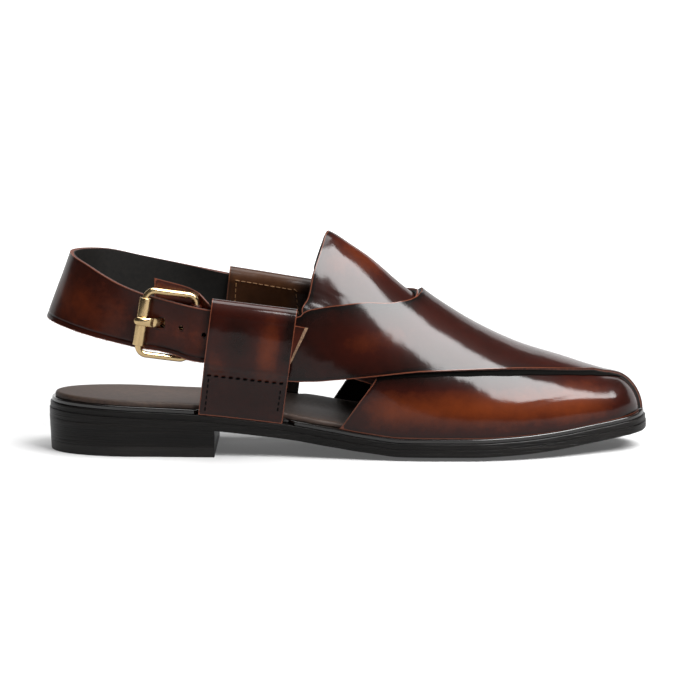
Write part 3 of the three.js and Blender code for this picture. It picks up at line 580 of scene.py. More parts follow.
def capped(rings: Array, ends: Sequence[Sequence[float]]) -> Mesh:
    """A tube of rings, stored (ring, place round it), closed at both ends by triangles to a middle point.

    Args:
        rings: the points.
        ends: the two middle points.

    Returns:
        A closed mesh of one slot.
    """
    count, sides = rings.shape[:2]
    n, last = count * sides, (count - 1) * sides
    j = np.arange(sides)
    k = (j + 1) % sides
    faces = np.concatenate([grid_faces(count, sides, wrap_columns=True), np.stack([0 * j + n, k, j, j], -1),
                            np.stack([0 * j + n + 1, last + j, last + k, last + k], -1)])
    return solid(np.concatenate([rings.reshape(-1, 3), ends]), faces)


def closed_bar(path: Array, radius: float, facets: int) -> Mesh:
    """A round bar along a closed path: circles of the radius across each point's direction.

    Args:
        path: the middle line.
        radius: of the bar.
        facets: sides of its section.

    Returns:
        A closed mesh of one slot.
    """
    along = unit(np.roll(path, -1, 0) - np.roll(path, 1, 0))
    across = unit(np.cross(along, [0.0, -1.0, 0.0]))
    depth = np.cross(across, along)
    a = 2 * math.pi * (np.arange(facets) + 0.5) / facets
    rings = path[:, None] + radius * (across[:, None] * np.cos(a)[None, :, None]
                                      + depth[:, None] * np.sin(a)[None, :, None])
    return solid(rings, grid_faces(len(path), facets, wrap_rows=True, wrap_columns=True))


def rail(points: Sequence[Sequence[float]], steps: int) -> Array:
    """A centripetal Catmull-Rom curve through points.

    The tangents come from the points' spacing to the power 0.5, and each span gets the same number of steps.

    Args:
        points: the places that it passes.
        steps: samples in each span.

    Returns:
        (spans * steps + 1) points.
    """
    p = np.array(points, float)
    p = np.concatenate([[2 * p[0] - p[1]], p, [2 * p[-1] - p[-2]]])
    d = np.maximum(np.linalg.norm(np.diff(p, axis=0), axis=1) ** 0.5, 1e-4)[:, None]
    a, b, c, e = p[:-3], p[1:-2], p[2:-1], p[3:]
    d0, d1, d2 = d[:-2], d[1:-1], d[2:]
    m1 = ((b - a) / d0 - (c - a) / (d0 + d1) + (c - b) / d1) * d1
    m2 = ((c - b) / d1 - (e - b) / (d1 + d2) + (e - c) / d2) * d1
    t = np.arange(steps)[None, :, None] / steps
    b, c, m1, m2 = b[:, None], c[:, None], m1[:, None], m2[:, None]
    out = b + m1 * t + (3 * (c - b) - 2 * m1 - m2) * t**2 + (2 * (b - c) + m1 + m2) * t**3
    return np.concatenate([out.reshape(-1, p.shape[1]), p[-2:-1]])


def strap_normals(grid: Array) -> Array:
    """Unit normals of a strap's grid, which is stored (along, up): along x up.

    Args:
        grid: its points.

    Returns:
        A normal for each.
    """
    along = np.gradient(grid, axis=0)
    up = np.gradient(grid, axis=1)
    return unit(np.cross(along, up))


@dataclass(frozen=True)
class Thread:
    """A row of stitches: their spacing, their length and the thread's radius."""

    pitch: float
    length: float
    radius: float

    def stitches(self, at: Array, along: Array, out: Array) -> Mesh:
        """Capsules with rounded ends, half sunk in the leather.

        Args:
            at: the middle of each stitch.
            along: the direction of each.
            out: the leather's normal at each.

        Returns:
            All stitches as one mesh.
        """
        along, out = unit(along), unit(out)
        across = np.cross(along, out)
        lift = np.array([-0.35, 0.25, 0.45, 0.25, -0.35]) * self.radius
        place = np.array([-0.5, -0.42, 0, 0.42, 0.5]) * self.length
        thick = np.array([0.25, 0.85, 1, 0.85, 0.25]) * self.radius
        a = 2 * math.pi * np.arange(7) / 7
        centre = at[:, None] + along[:, None] * place[None, :, None] + out[:, None] * lift[None, :, None]
        circle = (across[:, None, None] * np.cos(a)[None, None, :, None]
                  + out[:, None, None] * np.sin(a)[None, None, :, None])
        rings = centre[:, :, None] + circle * thick[None, :, None, None]
        tips = np.stack([centre[:, 0] - along * self.radius * 0.2, centre[:, -1] + along * self.radius * 0.2], 1)
        points = np.concatenate([rings.reshape(len(at), -1, 3), tips], 1)
        one = capped(rings[0], tips[0]).faces
        return solid(points, (one[None] + np.arange(len(at))[:, None, None] * points.shape[1]).reshape(-1, 4))


# Finishes


class Wiring:
    """A material's nodes, added and linked in one call each."""

    def __init__(self, name: str) -> None:
        """Starts an empty material.

        Args:
            name: its name.
        """
        self.material = bpy.data.materials.new(name)
        self.material.use_nodes = True
        self.tree = self.material.node_tree
        self.tree.nodes.clear()

    def add(self, kind: str, props: Optional[dict] = None, **inputs: object) -> bpy.types.Node:
        """Adds a node.

        Args:
            kind: the node's type after "ShaderNode".
            props: the node's own settings.
            **inputs: socket names, with _ for a space, and a value or an output socket for each.

        Returns:
            The node.
        """
        node = self.tree.nodes.new("ShaderNode" + kind)
        for key, value in (props or {}).items():
            setattr(node, key, value)
        for key, value in inputs.items():
            socket = node.inputs[int(key[1:]) if key[0] == "i" and key[1:].isdigit() else key.replace("_", " ")]
            if isinstance(value, Socket):
                self.tree.links.new(value, socket)
            else:
                socket.default_value = value
        return node

    def noise(self, scale: float, stretch: Sequence[float] = (1, 1, 1), detail: float = 3,
              rough: float = 0.55) -> Socket:
        """Noise on Object coordinates, with its scale in cells per metre and a stretch along each axis.

        Args:
            scale: cells per metre.
            stretch: along each axis.
            detail: octaves.
            rough: their weight.

        Returns:
            The noise, about 0 to 1.
        """
        where = self.add("TexCoord").outputs["Object"]
        placed = self.add("Mapping", Vector=where, Scale=tuple(scale * s for s in stretch))
        return self.add("TexNoise", Vector=placed.outputs[0], Scale=1.0, Detail=detail, Roughness=rough).outputs[0]

    def math(self, operation: str, a: object, b: object = 0.0, c: object = 0.0, clamp: bool = False) -> Socket:
        """One arithmetic step on numbers."""
        return self.add("Math", {"operation": operation, "use_clamp": clamp}, i0=a, i1=b, i2=c).outputs[0]

    def fit(self, value: Socket, low: float, high: float, to_low: float = 0.0, to_high: float = 1.0) -> Socket:
        """A number moved from one range to another and clamped."""
        return self.add("MapRange", {"interpolation_type": "SMOOTHSTEP"}, Value=value, From_Min=low,
                        From_Max=high, To_Min=to_low, To_Max=to_high).outputs[0]

    def attribute(self, name: str) -> Socket:
        """A number stored at the mesh's points."""
        return self.add("Attribute", {"attribute_name": name}).outputs["Fac"]

    def ramp(self, value: Socket, stops: Sequence[tuple[float, Sequence[float]]]) -> Socket:
        """A colour read from stops of (position, linear colour).

        Args:
            value: where to read it.
            stops: the stops.

        Returns:
            The colour.
        """
        node = self.add("ValToRGB", Fac=value)
        elements = node.color_ramp.elements
        while len(elements) < len(stops):
            elements.new(0.5)
        for element, (place, colour) in zip(elements, stops):
            element.position = place
            element.color = (*colour, 1)
        return node.outputs[0]

    def bump(self, height: Socket, depth: float, before: Optional[Socket] = None) -> Socket:
        """A bump of a depth in metres, on top of an earlier one.

        Args:
            height: the relief, 0 to 1.
            depth: its depth.
            before: the earlier bump.

        Returns:
            The normal.
        """
        node = self.add("Bump", Height=height, Distance=depth, Strength=1.0)
        if before is not None:
            self.tree.links.new(before, node.inputs["Normal"])
        return node.outputs[0]

    def finish(self, **inputs: object) -> Material:
        """Ends the material in a Principled shader with these inputs.

        Args:
            **inputs: the shader's inputs.

        Returns:
            The material.
        """
        shader = self.add("BsdfPrincipled", **inputs)
        self.add("OutputMaterial", Surface=shader.outputs[0])
        return self.material


def tint(code: str) -> tuple[float, float, float]:
    """A linear colour from sRGB hex digits.

    Args:
        code: six hex digits.

    Returns:
        Red, green and blue.
    """
    value = np.array([int(code[i:i + 2], 16) for i in (0, 2, 4)]) / 255
    linear = np.where(value <= 0.04045, value / 12.92, ((value + 0.055) / 1.055) ** 2.4)
    return tuple(float(v) for v in linear)


def pick(finishes: Finishes, names: str) -> tuple[Material, ...]:
    """The finishes of these names, which are separated by spaces."""
    return tuple(finishes[name] for name in names.split())


@dataclass(frozen=True)
class BurnishedLeather:
    """Polished hide, rubbed from near black through red brown to a warm brown.

    mottle clouds the tone, edge is how far it darkens in from a cut edge, by edge_depth, and the cut edge itself is
    rubbed bare over rubbed_edge. grain and sway are the depths of its pores and its slow waves, in metres.
    """

    name: str
    black: str = "080302"
    red: str = "260904"
    warm: str = "532109"
    roughness: float = 0.42
    polish: float = 0.75
    coat_roughness: float = 0.1
    mottle: float = 0.3
    edge: float = 3.2
    edge_depth: float = 0.22
    grain: float = 0.00002
    sway: float = 0.0004
    rubbed: str = "6c3a28"
    rubbed_edge: float = 0.42

    def material(self) -> Material:
        """Colour from the tone attribute, clouded by two noises and darkened near the cut edges.

        Returns:
            The material.
        """
        w = Wiring(self.name)
        cloud = w.math("SUBTRACT", w.noise(38, detail=4, rough=0.6), 0.5)
        fine = w.math("SUBTRACT", w.noise(210, detail=5, rough=0.65), 0.5)
        tone = w.math("MULTIPLY_ADD", cloud, self.mottle * 1.6, w.attribute("tone"))
        tone = w.math("MULTIPLY_ADD", fine, self.mottle, tone)
        near = w.fit(w.attribute("rim"), 0.0, self.edge, self.edge_depth, 0.0)
        tone = w.math("SUBTRACT", tone, near, clamp=True)
        colour = w.ramp(tone, ((0.0, tint(self.black)), (0.5, tint(self.red)), (1.0, tint(self.warm))))
        bare = w.fit(w.math("ADD", w.attribute("rim"), w.math("MULTIPLY", fine, 0.5)), self.rubbed_edge * 0.5,
                     self.rubbed_edge * 1.4, 0.75, 0.0)
        colour = w.add("Mix", {"data_type": "RGBA"}, i0=bare, i6=colour, i7=(*tint(self.rubbed), 1.0)).outputs[2]
        slow = w.bump(w.noise(48, detail=2), self.sway)
        pores = w.bump(w.noise(1500, detail=4, rough=0.7), self.grain, slow)
        creases = w.bump(w.noise(260, stretch=(1, 1, 0.6), detail=3), self.grain * 2.2, pores)
        return w.finish(Base_Color=colour, Roughness=self.roughness, Normal=creases, Coat_Weight=self.polish,
                        Coat_Roughness=self.coat_roughness, Coat_Normal=creases, Coat_IOR=1.4, Specular_IOR_Level=0.05)


@dataclass(frozen=True)
class PlainFinish:
    """A plain coat with noise in its colour and surface: cut edges, linings, edge dressing and thread."""

    name: str
    low: str
    high: str
    scale: float = 300
    stretch: tuple[float, float, float] = (1, 1, 1)
    roughness: float = 0.6
    coat: float = 0.0
    depth: float = 0.00005
    specular: float = 0.5

    def material(self) -> Material:
        """Two colours mixed by noise, with the same noise as relief.

        Returns:
            The material.
        """
        w = Wiring(self.name)
        noise = w.noise(self.scale, self.stretch, detail=4, rough=0.6)
        colour = w.ramp(noise, ((0.3, tint(self.low)), (0.7, tint(self.high))))
        return w.finish(Base_Color=colour, Roughness=self.roughness, Normal=w.bump(noise, self.depth),
                        Coat_Weight=self.coat, Coat_Roughness=0.2, Specular_IOR_Level=self.specular)


@dataclass(frozen=True)
class Gilt:
    """Pale gold plate whose colour, roughness and relief vary a little by noise, which can be stretched into streaks.
    """

    name: str
    colour: str = "dbbd8c"
    roughness: float = 0.16
    marks: tuple[float, float, float] = (1, 1, 1)
    scale: float = 260
    depth: float = 0.000004

    def material(self) -> Material:
        """A metal whose colour and roughness vary a little.

        Returns:
            The material.
        """
        w = Wiring(self.name)
        noise = w.noise(self.scale, self.marks, detail=4)
        bright = np.array(tint(self.colour))
        colour = w.ramp(noise, ((0.25, tuple(bright * 0.86)), (0.75, tuple(bright))))
        return w.finish(Base_Color=colour, Metallic=1.0, Normal=w.bump(noise, self.depth),
                        Roughness=w.fit(noise, 0.3, 0.8, self.roughness, self.roughness + 0.12))


# The upper


@dataclass
class CrossBand:
    """One of the two crossed bands: a vamp lasted to the sole on one side, and a strap back on the other."""

    strap: Side
    crotch: float
    strap_end: float
    edges: dict[str, Curve]
    back: Curve
    over: bool
    wall: float = 2.2
    before: int = 70
    after: int = 120
    across: int = 26
    down: int = 60

    def lap(self, x: Array, side: Array, share: Array) -> Array:
        """How far the band has climbed onto the other one at a place: 0 beside it, 1 on it.

        Args:
            x: positions along the shoe.
            side: -1 or 1.
            share: 0 at the sole to 1 at the ridge.

        Returns:
            Shares from 0 to 1.
        """
        if not self.over:
            return np.zeros(np.shape(x))
        return np.where(side > 0, smooth(0, 0.4, share), smooth(78, 120, x))

    def places(self) -> tuple[Array, Array, Array, Array]:
        """The band as places on the last.

        The strap's columns run between its two edges. Past the crotch its last column is the ridge, where the
        vamp's columns start, down to the sole, shifted so that the vamp begins at its rear edge.

        Returns:
            x, side, share and the quads.
        """
        strap, vamp = self.strap.value, -self.strap.value
        early = mix(self.crotch, self.strap_end, (1 - np.arange(self.before) / self.before) ** 1.4)
        late = mix(self.crotch, LAST.last_tip, np.sin(math.pi / 2 * np.arange(self.after + 1) / self.after))
        xs = np.concatenate([early, late])
        low = LAST.share_at(xs, strap, self.edges["low"](xs))
        low = mix(low, 1, smooth(226, 250, xs))
        top = np.where(np.arange(len(xs)) < self.before, LAST.share_at(xs, strap, self.edges["top"](xs)), 1)
        t = np.linspace(0, 1, self.across + 1)[None]
        x = np.broadcast_to(xs[:, None], (len(xs), self.across + 1))
        share = mix(low[:, None], top[:, None], t)
        strap_part = [x.ravel(), np.full(x.size, strap), share.ravel()]
        fall = 1 - np.linspace(0, 1, self.down + 1)[1:]
        back = np.full(self.down, self.crotch)
        for _ in range(12):
            back = np.minimum(self.crotch, self.back(LAST.point(back, vamp, fall)[..., 2]))
        run = LAST.last_tip - self.crotch
        moved = back[None] + (late[:, None] - self.crotch) * (LAST.last_tip - back[None]) / run
        down = np.broadcast_to(fall[None], moved.shape)
        vamp_part = [moved.ravel(), np.full(moved.size, vamp), down.ravel()]
        first = np.arange(x.size).reshape(x.shape)
        ridge = first[self.before:, -1:]
        second = np.concatenate([ridge, x.size + np.arange(moved.size).reshape(moved.shape)], 1)
        quads = np.concatenate([index_quads(first), index_quads(second)])
        place = [np.concatenate(both) for both in zip(strap_part, vamp_part)]
        return (*place, quads)

    def tone(self, points: Array, side: Array) -> Array:
        """The burnish: black at the keeper and the edges, red between, and orange brown low on the side, with painted
        shade on the under band just below the over band's lower edge.

        Args:
            points: places on the last.
            side: -1 or 1 for each.

        Returns:
            A tone for each point.
        """
        x, z = points[:, 0], points[:, 2]
        if self.over:
            low, top = self.edges["low"](x), self.edges["top"](x)
            up = np.clip((z - low) / np.maximum(top - low, 6), 0, 1.4)
            strap = 0.16 + 0.42 * bump(up, 0.5, 0.34) * smooth(84, 118, x) - 0.12 * smooth(0.8, 1.0, up)
            front = 0.34 + 0.06 * smooth(150, 200, x) - 0.2 * smooth(232, 250, x)
            lateral = mix(strap, front, smooth(132, 172, x))
            return np.where(side < 0, lateral, 0.45)
        vamp = 0.42 + 0.52 * bump(z, 25.5, 7.5) * smooth(108, 134, x) * (1 - 0.55 * smooth(215, 250, x))
        # Darker just below the over band's lower edge: painted shade under that edge.
        vamp = vamp - 0.3 * smooth(33, 40, z) - 0.3 * smooth(232, 250, x)
        return np.where(side < 0, vamp, 0.4)

    def crease(self, points: Array) -> Array:
        """The lasting crease low on the buckle side: a soft trough under a faint ridge, fading at both ends.

        Args:
            points: places on the last.

        Returns:
            How far each moves out, in mm.
        """
        x, z = points[:, 0], points[:, 2]
        line = mix(24.4, 30.6, (x - 186) / 46) + 0.35 * np.sin(x * 0.16)
        fade = smooth(180, 200, x) * (1 - smooth(218, 236, x)) * (points[:, 1] < 0) * (not self.over)
        return fade * (0.025 * bump(z, line + 1.3, 0.8) - 0.06 * bump(z, line, 0.6))

    def build(self) -> Mesh:
        """The band as a thick sheet. Its outside lies 1 wall off the last, or 2 where it laps the other band.

        Returns:
            The band.
        """
        x, side, share, quads = self.places()
        lap = self.lap(x, side, share)
        middle = LAST.point(x, side, share)
        outer = LAST.off(x, side, share, self.wall * (1 + lap) + self.crease(middle))
        inner = LAST.off(x, side, share, self.wall * lap + 0.05)
        return thick_sheet(outer, inner, quads, bulge=0.25, split=0.42, tone=self.tone(middle, side), back=0.35)


@dataclass
class LiningAndShadeStrip:
    """A black strip under the over band's lower edge, where it lies on the other vamp: partly the over band's black
    lining, partly painted shade in the gap under that edge.
    """

    low: Curve
    first: float = 123.5
    final: float = 248
    shows: float = 1.9
    hidden: float = 1.6
    under: float = 2.25  # from the last
    over: float = 2.65

    def build(self) -> Mesh:
        """A thin sheet on the under band, from above the edge to a little below it, narrowing to the toe.

        Returns:
            The strip.
        """
        x = mix(self.first, self.final, np.linspace(0, 1, 150) ** 0.9)[:, None]
        edge = self.low(x)
        shows = self.shows * mix(1, 0.55, smooth(180, 235, x)) * (1 + 0.05 * np.sin(x * 0.31))
        z = mix(edge + self.hidden, edge - shows, np.linspace(0, 1, 8)[None])
        at_edge = LAST.share_at(x, -1, edge)
        beyond = (LAST.share_at(x, -1, z) - at_edge) * (1 - 0.8 * smooth(232, 247, x))
        share = np.minimum(mix(at_edge, 1, smooth(226, 250, x)) + beyond, 0.999)
        side = np.full(share.shape, -1.0)
        outer, inner = (LAST.off(x, side, share, np.full(share.shape, out)) for out in (self.over, self.under))
        return thick_sheet(outer, inner, grid_faces(*share.shape)[:, ::-1], bulge=0.1, split=2.0)


@dataclass
class Tongue:
    """The peaked sheet under the bands, which stands behind their crossing."""

    wall: float = 2
    gap: float = 0.6
    front: float = 166
    low: float = 46
    peak: float = 111.6
    back: dict[str, Curve] = field(default_factory=lambda: curves("lateral medial", (
        (46, 93, 96), (60, 89.5, 94.5), (74, 86.6, 93.4), (80, 90, 93), (85, 91.4, 92.8), (90, 92.3, 92.8),
        (95, 93.8, 94), (100.5, 95.7, 95.7), (106.2, 97.6, 97.6), (109.8, 98.8, 98.8), (111.6, 100.3, 100.3))))
    rows: int = 90
    steps: int = 70

    def build(self) -> Mesh:
        """Runs each point of the rear edge, up one side and down the other, forward to the hidden front edge.

        Returns:
            The tongue.
        """
        heights = mix(self.low, self.peak, 1 - (1 - np.linspace(0, 1, self.rows)) ** 1.35)
        side = np.concatenate([np.full(self.rows, -1.0), np.full(self.rows - 1, 1.0)])
        z = np.concatenate([heights, heights[-2::-1]])
        x = np.where(side < 0, self.back["lateral"](z), self.back["medial"](z))
        share = LAST.share_at(x, side, z)
        share[self.rows - 1] = 1
        xs = mix(x[None], self.front, np.linspace(0, 1, self.steps + 1)[:, None])
        sides, shares = np.broadcast_to(side, xs.shape), np.broadcast_to(share, xs.shape)
        outer, inner = (LAST.off(xs, sides, shares, np.full(xs.shape, out))
                        for out in (-self.gap, -self.gap - self.wall))
        behind = xs - x[None]
        turned = LAST.normal(xs, sides, shares) * self.folds(outer, behind)[..., None]
        outer, inner = outer + turned, inner + turned
        tone = 0.3 + 0.3 * smooth(80, 100, outer[..., 2]) + 0.12 * smooth(95, 125, outer[..., 0])
        # Darker along the rear edge, where the tongue turns in away from the light: painted shade.
        return thick_sheet(outer, inner, bulge=0.25, split=0.6, tone=tone - 0.3 * np.exp(-behind / 5))

    def folds(self, points: Array, behind: Array) -> Array:
        """Fine slanting wrinkles low on the rear edge, which turns in by a exp(-d / b), more and wider low down.

        Args:
            points: the outside's points.
            behind: their distance from the rear edge.

        Returns:
            How far each moves out, in mm.
        """
        x, z = points[..., 0], points[..., 2]
        behind = np.maximum(behind, 0)
        fade = bump(z, 78, 6) * np.exp(-behind / 14) * (points[..., 1] < 0)
        slant = z + 0.45 * x
        fine = fade * (0.03 * np.sin(slant * 2.1 + np.sin(x * 0.5)) + 0.03 * np.sin(slant * 1.27 + 0.3 * x))
        low = 1 - smooth(80, 100, z)
        turn = (0.9 + 1.1 * low) * np.exp(-behind / (5 + 5 * low))
        return fine - turn * smooth(70, 80, z)


@dataclass
class Upper:
    """The crossed bands, the strip under the upper one and the tongue."""

    vamp_back: dict[str, Curve] = field(default_factory=lambda: curves("under over", (
        (14, 105, 98), (27, 114, 107.8), (40, 123.2, 117.5), (60, 134, 131.5), (72, 139.6, 140.4),
        (77.4, 142.8, 144.3))))
    lateral_strap: dict[str, Curve] = field(default_factory=lambda: curves("low top", (
        (48, 43.6, 70.6), (66, 41.4, 70.6), (84.8, 38.9, 70.4), (88, 39, 73), (92, 39, 74), (103, 39.7, 75),
        (116, 40.8, 75.4), (130, 41.9, 74.2), (137, 42.4, 74.4), (141.5, 42.6, 75.4), (144.3, 42.7, 76.8),
        (174, 42, 60), (196, 40.6, 50), (214, 38.8, 44), (230, 36.6, 40), (241, 34.2, 40), (248, 34, 36))))
    medial_strap: dict[str, Curve] = field(default_factory=lambda: curves("low top", (
        (54, 44.4, 78.6), (90, 41.6, 77), (103, 41.6, 79), (120, 42, 79), (132, 42.2, 78.4),
        (138.5, 42.2, 77.6), (142.8, 42.2, 78), (177, 42, 60), (200, 39.8, 50), (217, 37.6, 44),
        (236, 35.4, 40), (248, 34, 36))))

    def dress(self, finishes: Finishes) -> None:
        """Makes the three pieces and the strip.

        Args:
            finishes: all finishes, by name.
        """
        skin = pick(finishes, "burnished_leather raw_edge black_lining")
        over = CrossBand(Side.LATERAL, 144.3, 48, self.lateral_strap, self.vamp_back["over"], over=True)
        under = CrossBand(Side.MEDIAL, 142.8, 54, self.medial_strap, self.vamp_back["under"], over=False)
        make("over_band", over.build(), skin, ("upper",))
        make("under_band", under.build(), skin, ("upper",))
        make("tongue_leather", Tongue().build(), skin, ("tongue",))
        # The strip is the over band's black lining showing below its edge, and painted shade under that edge.
        strip = LiningAndShadeStrip(self.lateral_strap["low"]).build()
        make("lining_and_shade_strip", strip, pick(finishes, "black_tape black_tape black_tape"))


@dataclass
class Keeper:
    """A folded strip that rises from the sole, holds the straps in its fold and is stitched below them."""

    side: Side
    back_foot: float  # X of its rear and front edges at the sole, at the fold, and heights of the stitches and fold
    front_foot: float
    back_top: float
    front_top: float
    stitch_back: float
    stitch_front: float
    top_back: float
    top_front: float
    inner: float  # the leaves' faces, sideways from the last
    outer: float
    pinch_out: float  # how far each leaf comes in at the stitches
    pinch_in: float
    leaf: float = 2
    rows: int = 44
    stem: int = 26
    walls: int = 34
    open_over: float = 7
    crown: float = 1.35
    seam_inset: float = 3
    seam_foot: float = 3

    def lean(self, t: Array, z: Array, top: Array) -> Array:
        """The X of a row at a height: a straight line from the foot to the top."""
        foot, head = mix(self.back_foot, self.front_foot, t), mix(self.back_top, self.front_top, t)
        return mix(foot, head, (z - 20) / (top - 20))

    def last_out(self, x: Array, z: Array) -> Array:
        """The last's distance from the middle line on this side at a height."""
        return self.side.value * LAST.beside(x, self.side.value, z, 0)[..., 1]

    def pinch(self, z: Array, stitch: Array) -> Array:
        """1 at the stitch line, where the leaves come together, to 0 some way above it."""
        return 1 - smooth(0, self.open_over, z - stitch)

    def faces(self) -> tuple[Array, Array]:
        """The strip's outside and flesh side, along a path up the outer leaf, over the fold and down inside.

        Returns:
            Two grids of points stored (row across the width, place along the path).
        """
        s, k = self.side.value, self
        t = np.linspace(0, 1, self.rows)[:, None]
        top = mix(k.top_back, k.top_front, t)
        stitch = mix(k.stitch_back, k.stitch_front, t)
        foot = mix(k.back_foot, k.front_foot, t)
        sole = LAST.top_of_sole(foot) + GAP
        edge = LAST.half_width(foot, s) - 0.6
        stitch_out = self.last_out(self.lean(t, stitch, top), stitch)
        v = np.linspace(0, 1, k.stem)[None]
        stem_z = mix(sole, stitch, v)
        ease = v * v * (1.6 - 0.6 * v)
        stem_outer = mix(edge, stitch_out + k.outer - k.pinch_out, ease)
        stem_inner = mix(edge - 2 * k.leaf, stitch_out + k.inner + k.pinch_in, v**1.2)
        gap = 0.03 + 1.45 * smooth(0.8, 1, v)

        def loop(inset: float) -> tuple[Array, Array]:
            """Distances out and heights of the path above the stitches, this far inside the outer face.

            Args:
                inset: 0 for the outside, the leaf for the flesh side.

            Returns:
                The distances and the heights.
            """
            radius = (k.outer - k.inner) / 2 - inset
            shoulder = top - inset - radius * k.crown
            z = mix(stitch, shoulder, np.linspace(0, 1, k.walls)[None])[:, 1:]
            base, pinch = self.last_out(self.lean(t, z, top), z), self.pinch(z, stitch)
            out_y = base + k.outer - inset - k.pinch_out * pinch
            in_y = base + k.inner + inset + k.pinch_in * pinch
            a = np.linspace(0, math.pi, 22)[None, 1:-1]
            centre = self.last_out(self.lean(t, shoulder, top), shoulder) + (k.outer + k.inner) / 2
            arc_y, arc_z = centre + radius * np.cos(a), shoulder + radius * k.crown * np.sin(a)
            return np.concatenate([out_y, arc_y, in_y[:, ::-1]], 1), np.concatenate([z, arc_z, z[:, ::-1]], 1)

        def strip(loop_y: Array, loop_z: Array, first: Array, final: Array) -> Array:
            """A face's points: up the outer stem, round the loop and down the inner stem.

            Args:
                loop_y: distances out of the loop.
                loop_z: its heights.
                first: the outer stem's distances.
                final: the inner stem's.

            Returns:
                A grid of points.
            """
            y = np.concatenate([first, loop_y, final[:, ::-1]], 1)
            z = np.concatenate([stem_z, loop_z, stem_z[:, ::-1]], 1)
            return np.stack([self.lean(t, z, top) + 0 * y, s * y, z + 0 * y], -1)

        middle = (stem_outer + stem_inner) / 2
        return strip(*loop(0), stem_outer, stem_inner), strip(*loop(k.leaf), middle + gap, middle - gap)

    def build(self) -> Mesh:
        """The folded strip, drawn in a little along its seam.

        Returns:
            The keeper.
        """
        outside, flesh = self.faces()
        z = outside[..., 2]
        t = np.linspace(0, 1, self.rows)[:, None]
        stitch = mix(self.stitch_back, self.stitch_front, t)
        columns = z.shape[1]
        outwards = np.where(np.arange(columns)[None] < columns // 2, 1, -1)
        outside[..., 1] -= self.side.value * 0.35 * bump(z, stitch, 1.1) * outwards
        dark = bump(t, 0.34, 0.2) * bump(z, 58, 15) + bump(t, 0.93, 0.07) * smooth(44, 52, z)
        warm = 0.34 * bump(t, 0.72, 0.13) * bump(z, 55, 12) + 0.2 * bump(t, 0.2, 0.2) * bump(z, 48, 6)
        tone = np.where(z < stitch, 0.36, 0.52 - 0.42 * dark + warm)
        mesh = thick_sheet(outside, flesh, bulge=0.2, split=0.8, tone=tone)
        inner_leaf = (mesh.faces.max(1) < z.size) & (mesh.faces[:, 0] % columns > columns // 2)
        # The inner leaf's face takes the shaded copy of the leather: painted shade.
        mesh.slots[(mesh.slots == 0) & inner_leaf] = FOURTH_SLOT
        return mesh

    def inside_seam(self, path: Sequence[tuple[float, float]], thread: Thread) -> Mesh:
        """Stitches on the face of the inner leaf that looks across the shoe, along a path of x and z.

        Args:
            path: the corners of the row.
            thread: its stitches' sizes.

        Returns:
            All stitches as one mesh.
        """
        corners = np.array(path)
        legs = np.concatenate([[0], np.cumsum(np.linalg.norm(np.diff(corners, axis=0), axis=1))])
        s = np.arange(thread.pitch / 2, legs[-1] - 0.5, thread.pitch)

        def at(s: Array) -> Array:
            """Points on the inner leaf's face at distances along the path."""
            x, z = np.interp(s, legs, corners[:, 0]), np.interp(s, legs, corners[:, 1])
            return LAST.beside(x, self.side.value, z, self.inner)

        out = np.tile([0.0, -self.side.value, 0.0], (len(s), 1))
        return thread.stitches(at(s), at(s + 0.2) - at(s - 0.2), out)

    def seam(self, thread: Thread) -> Mesh:
        """Stitches on the outer leaf: across it under the fold, and down both sides of the stem.

        Args:
            thread: the stitches' sizes.

        Returns:
            All stitches as one mesh.
        """
        outside, _ = self.faces()
        leaf = outside[:, :self.stem + 20]
        heights = leaf[..., 2]
        width = abs(self.front_top - self.back_top)
        inset = self.seam_inset / width
        t = np.linspace(0, 1, self.rows)
        stitch = mix(self.stitch_back, self.stitch_front, t)
        count = int(width * (1 - 2 * inset) / thread.pitch)
        across = np.linspace(inset, 1 - inset, count)
        bottom = heights[:, 0].max() + self.seam_foot
        columns = [[[side, h] for h in np.arange(bottom, np.interp(side, t, stitch) - thread.pitch / 2, thread.pitch)]
                   for side in (inset, 1 - inset)]
        place = np.concatenate([np.array([across, np.interp(across, t, stitch)]).T, *columns])
        direction = np.where(np.arange(len(place))[:, None] < count, [1.0, 0.0], [0.0, 1.0])

        def at(p: Array) -> Array:
            """Points on the outer leaf at rows of share across the width and height.

            Args:
                p: the rows.

            Returns:
                A point for each.
            """
            row = np.clip(p[:, 0] * (self.rows - 1), 0, self.rows - 1.001)
            both = [np.stack([[np.interp(h, heights[r], leaf[r, :, axis]) for axis in range(3)]
                              for h, r in zip(p[:, 1], row.astype(int) + k)]) for k in (0, 1)]
            return mix(*both, (row % 1)[:, None])

        centre = at(place)
        step = np.array([0.6 / width, 0.6])
        ahead, sideways = (at(place + way * step) - centre for way in (direction, direction[:, ::-1]))
        out = np.cross(ahead, sideways)
        out *= np.sign(out[:, 1:2]) * self.side.value
        return thread.stitches(centre - unit(out) * 0.12, ahead, out)


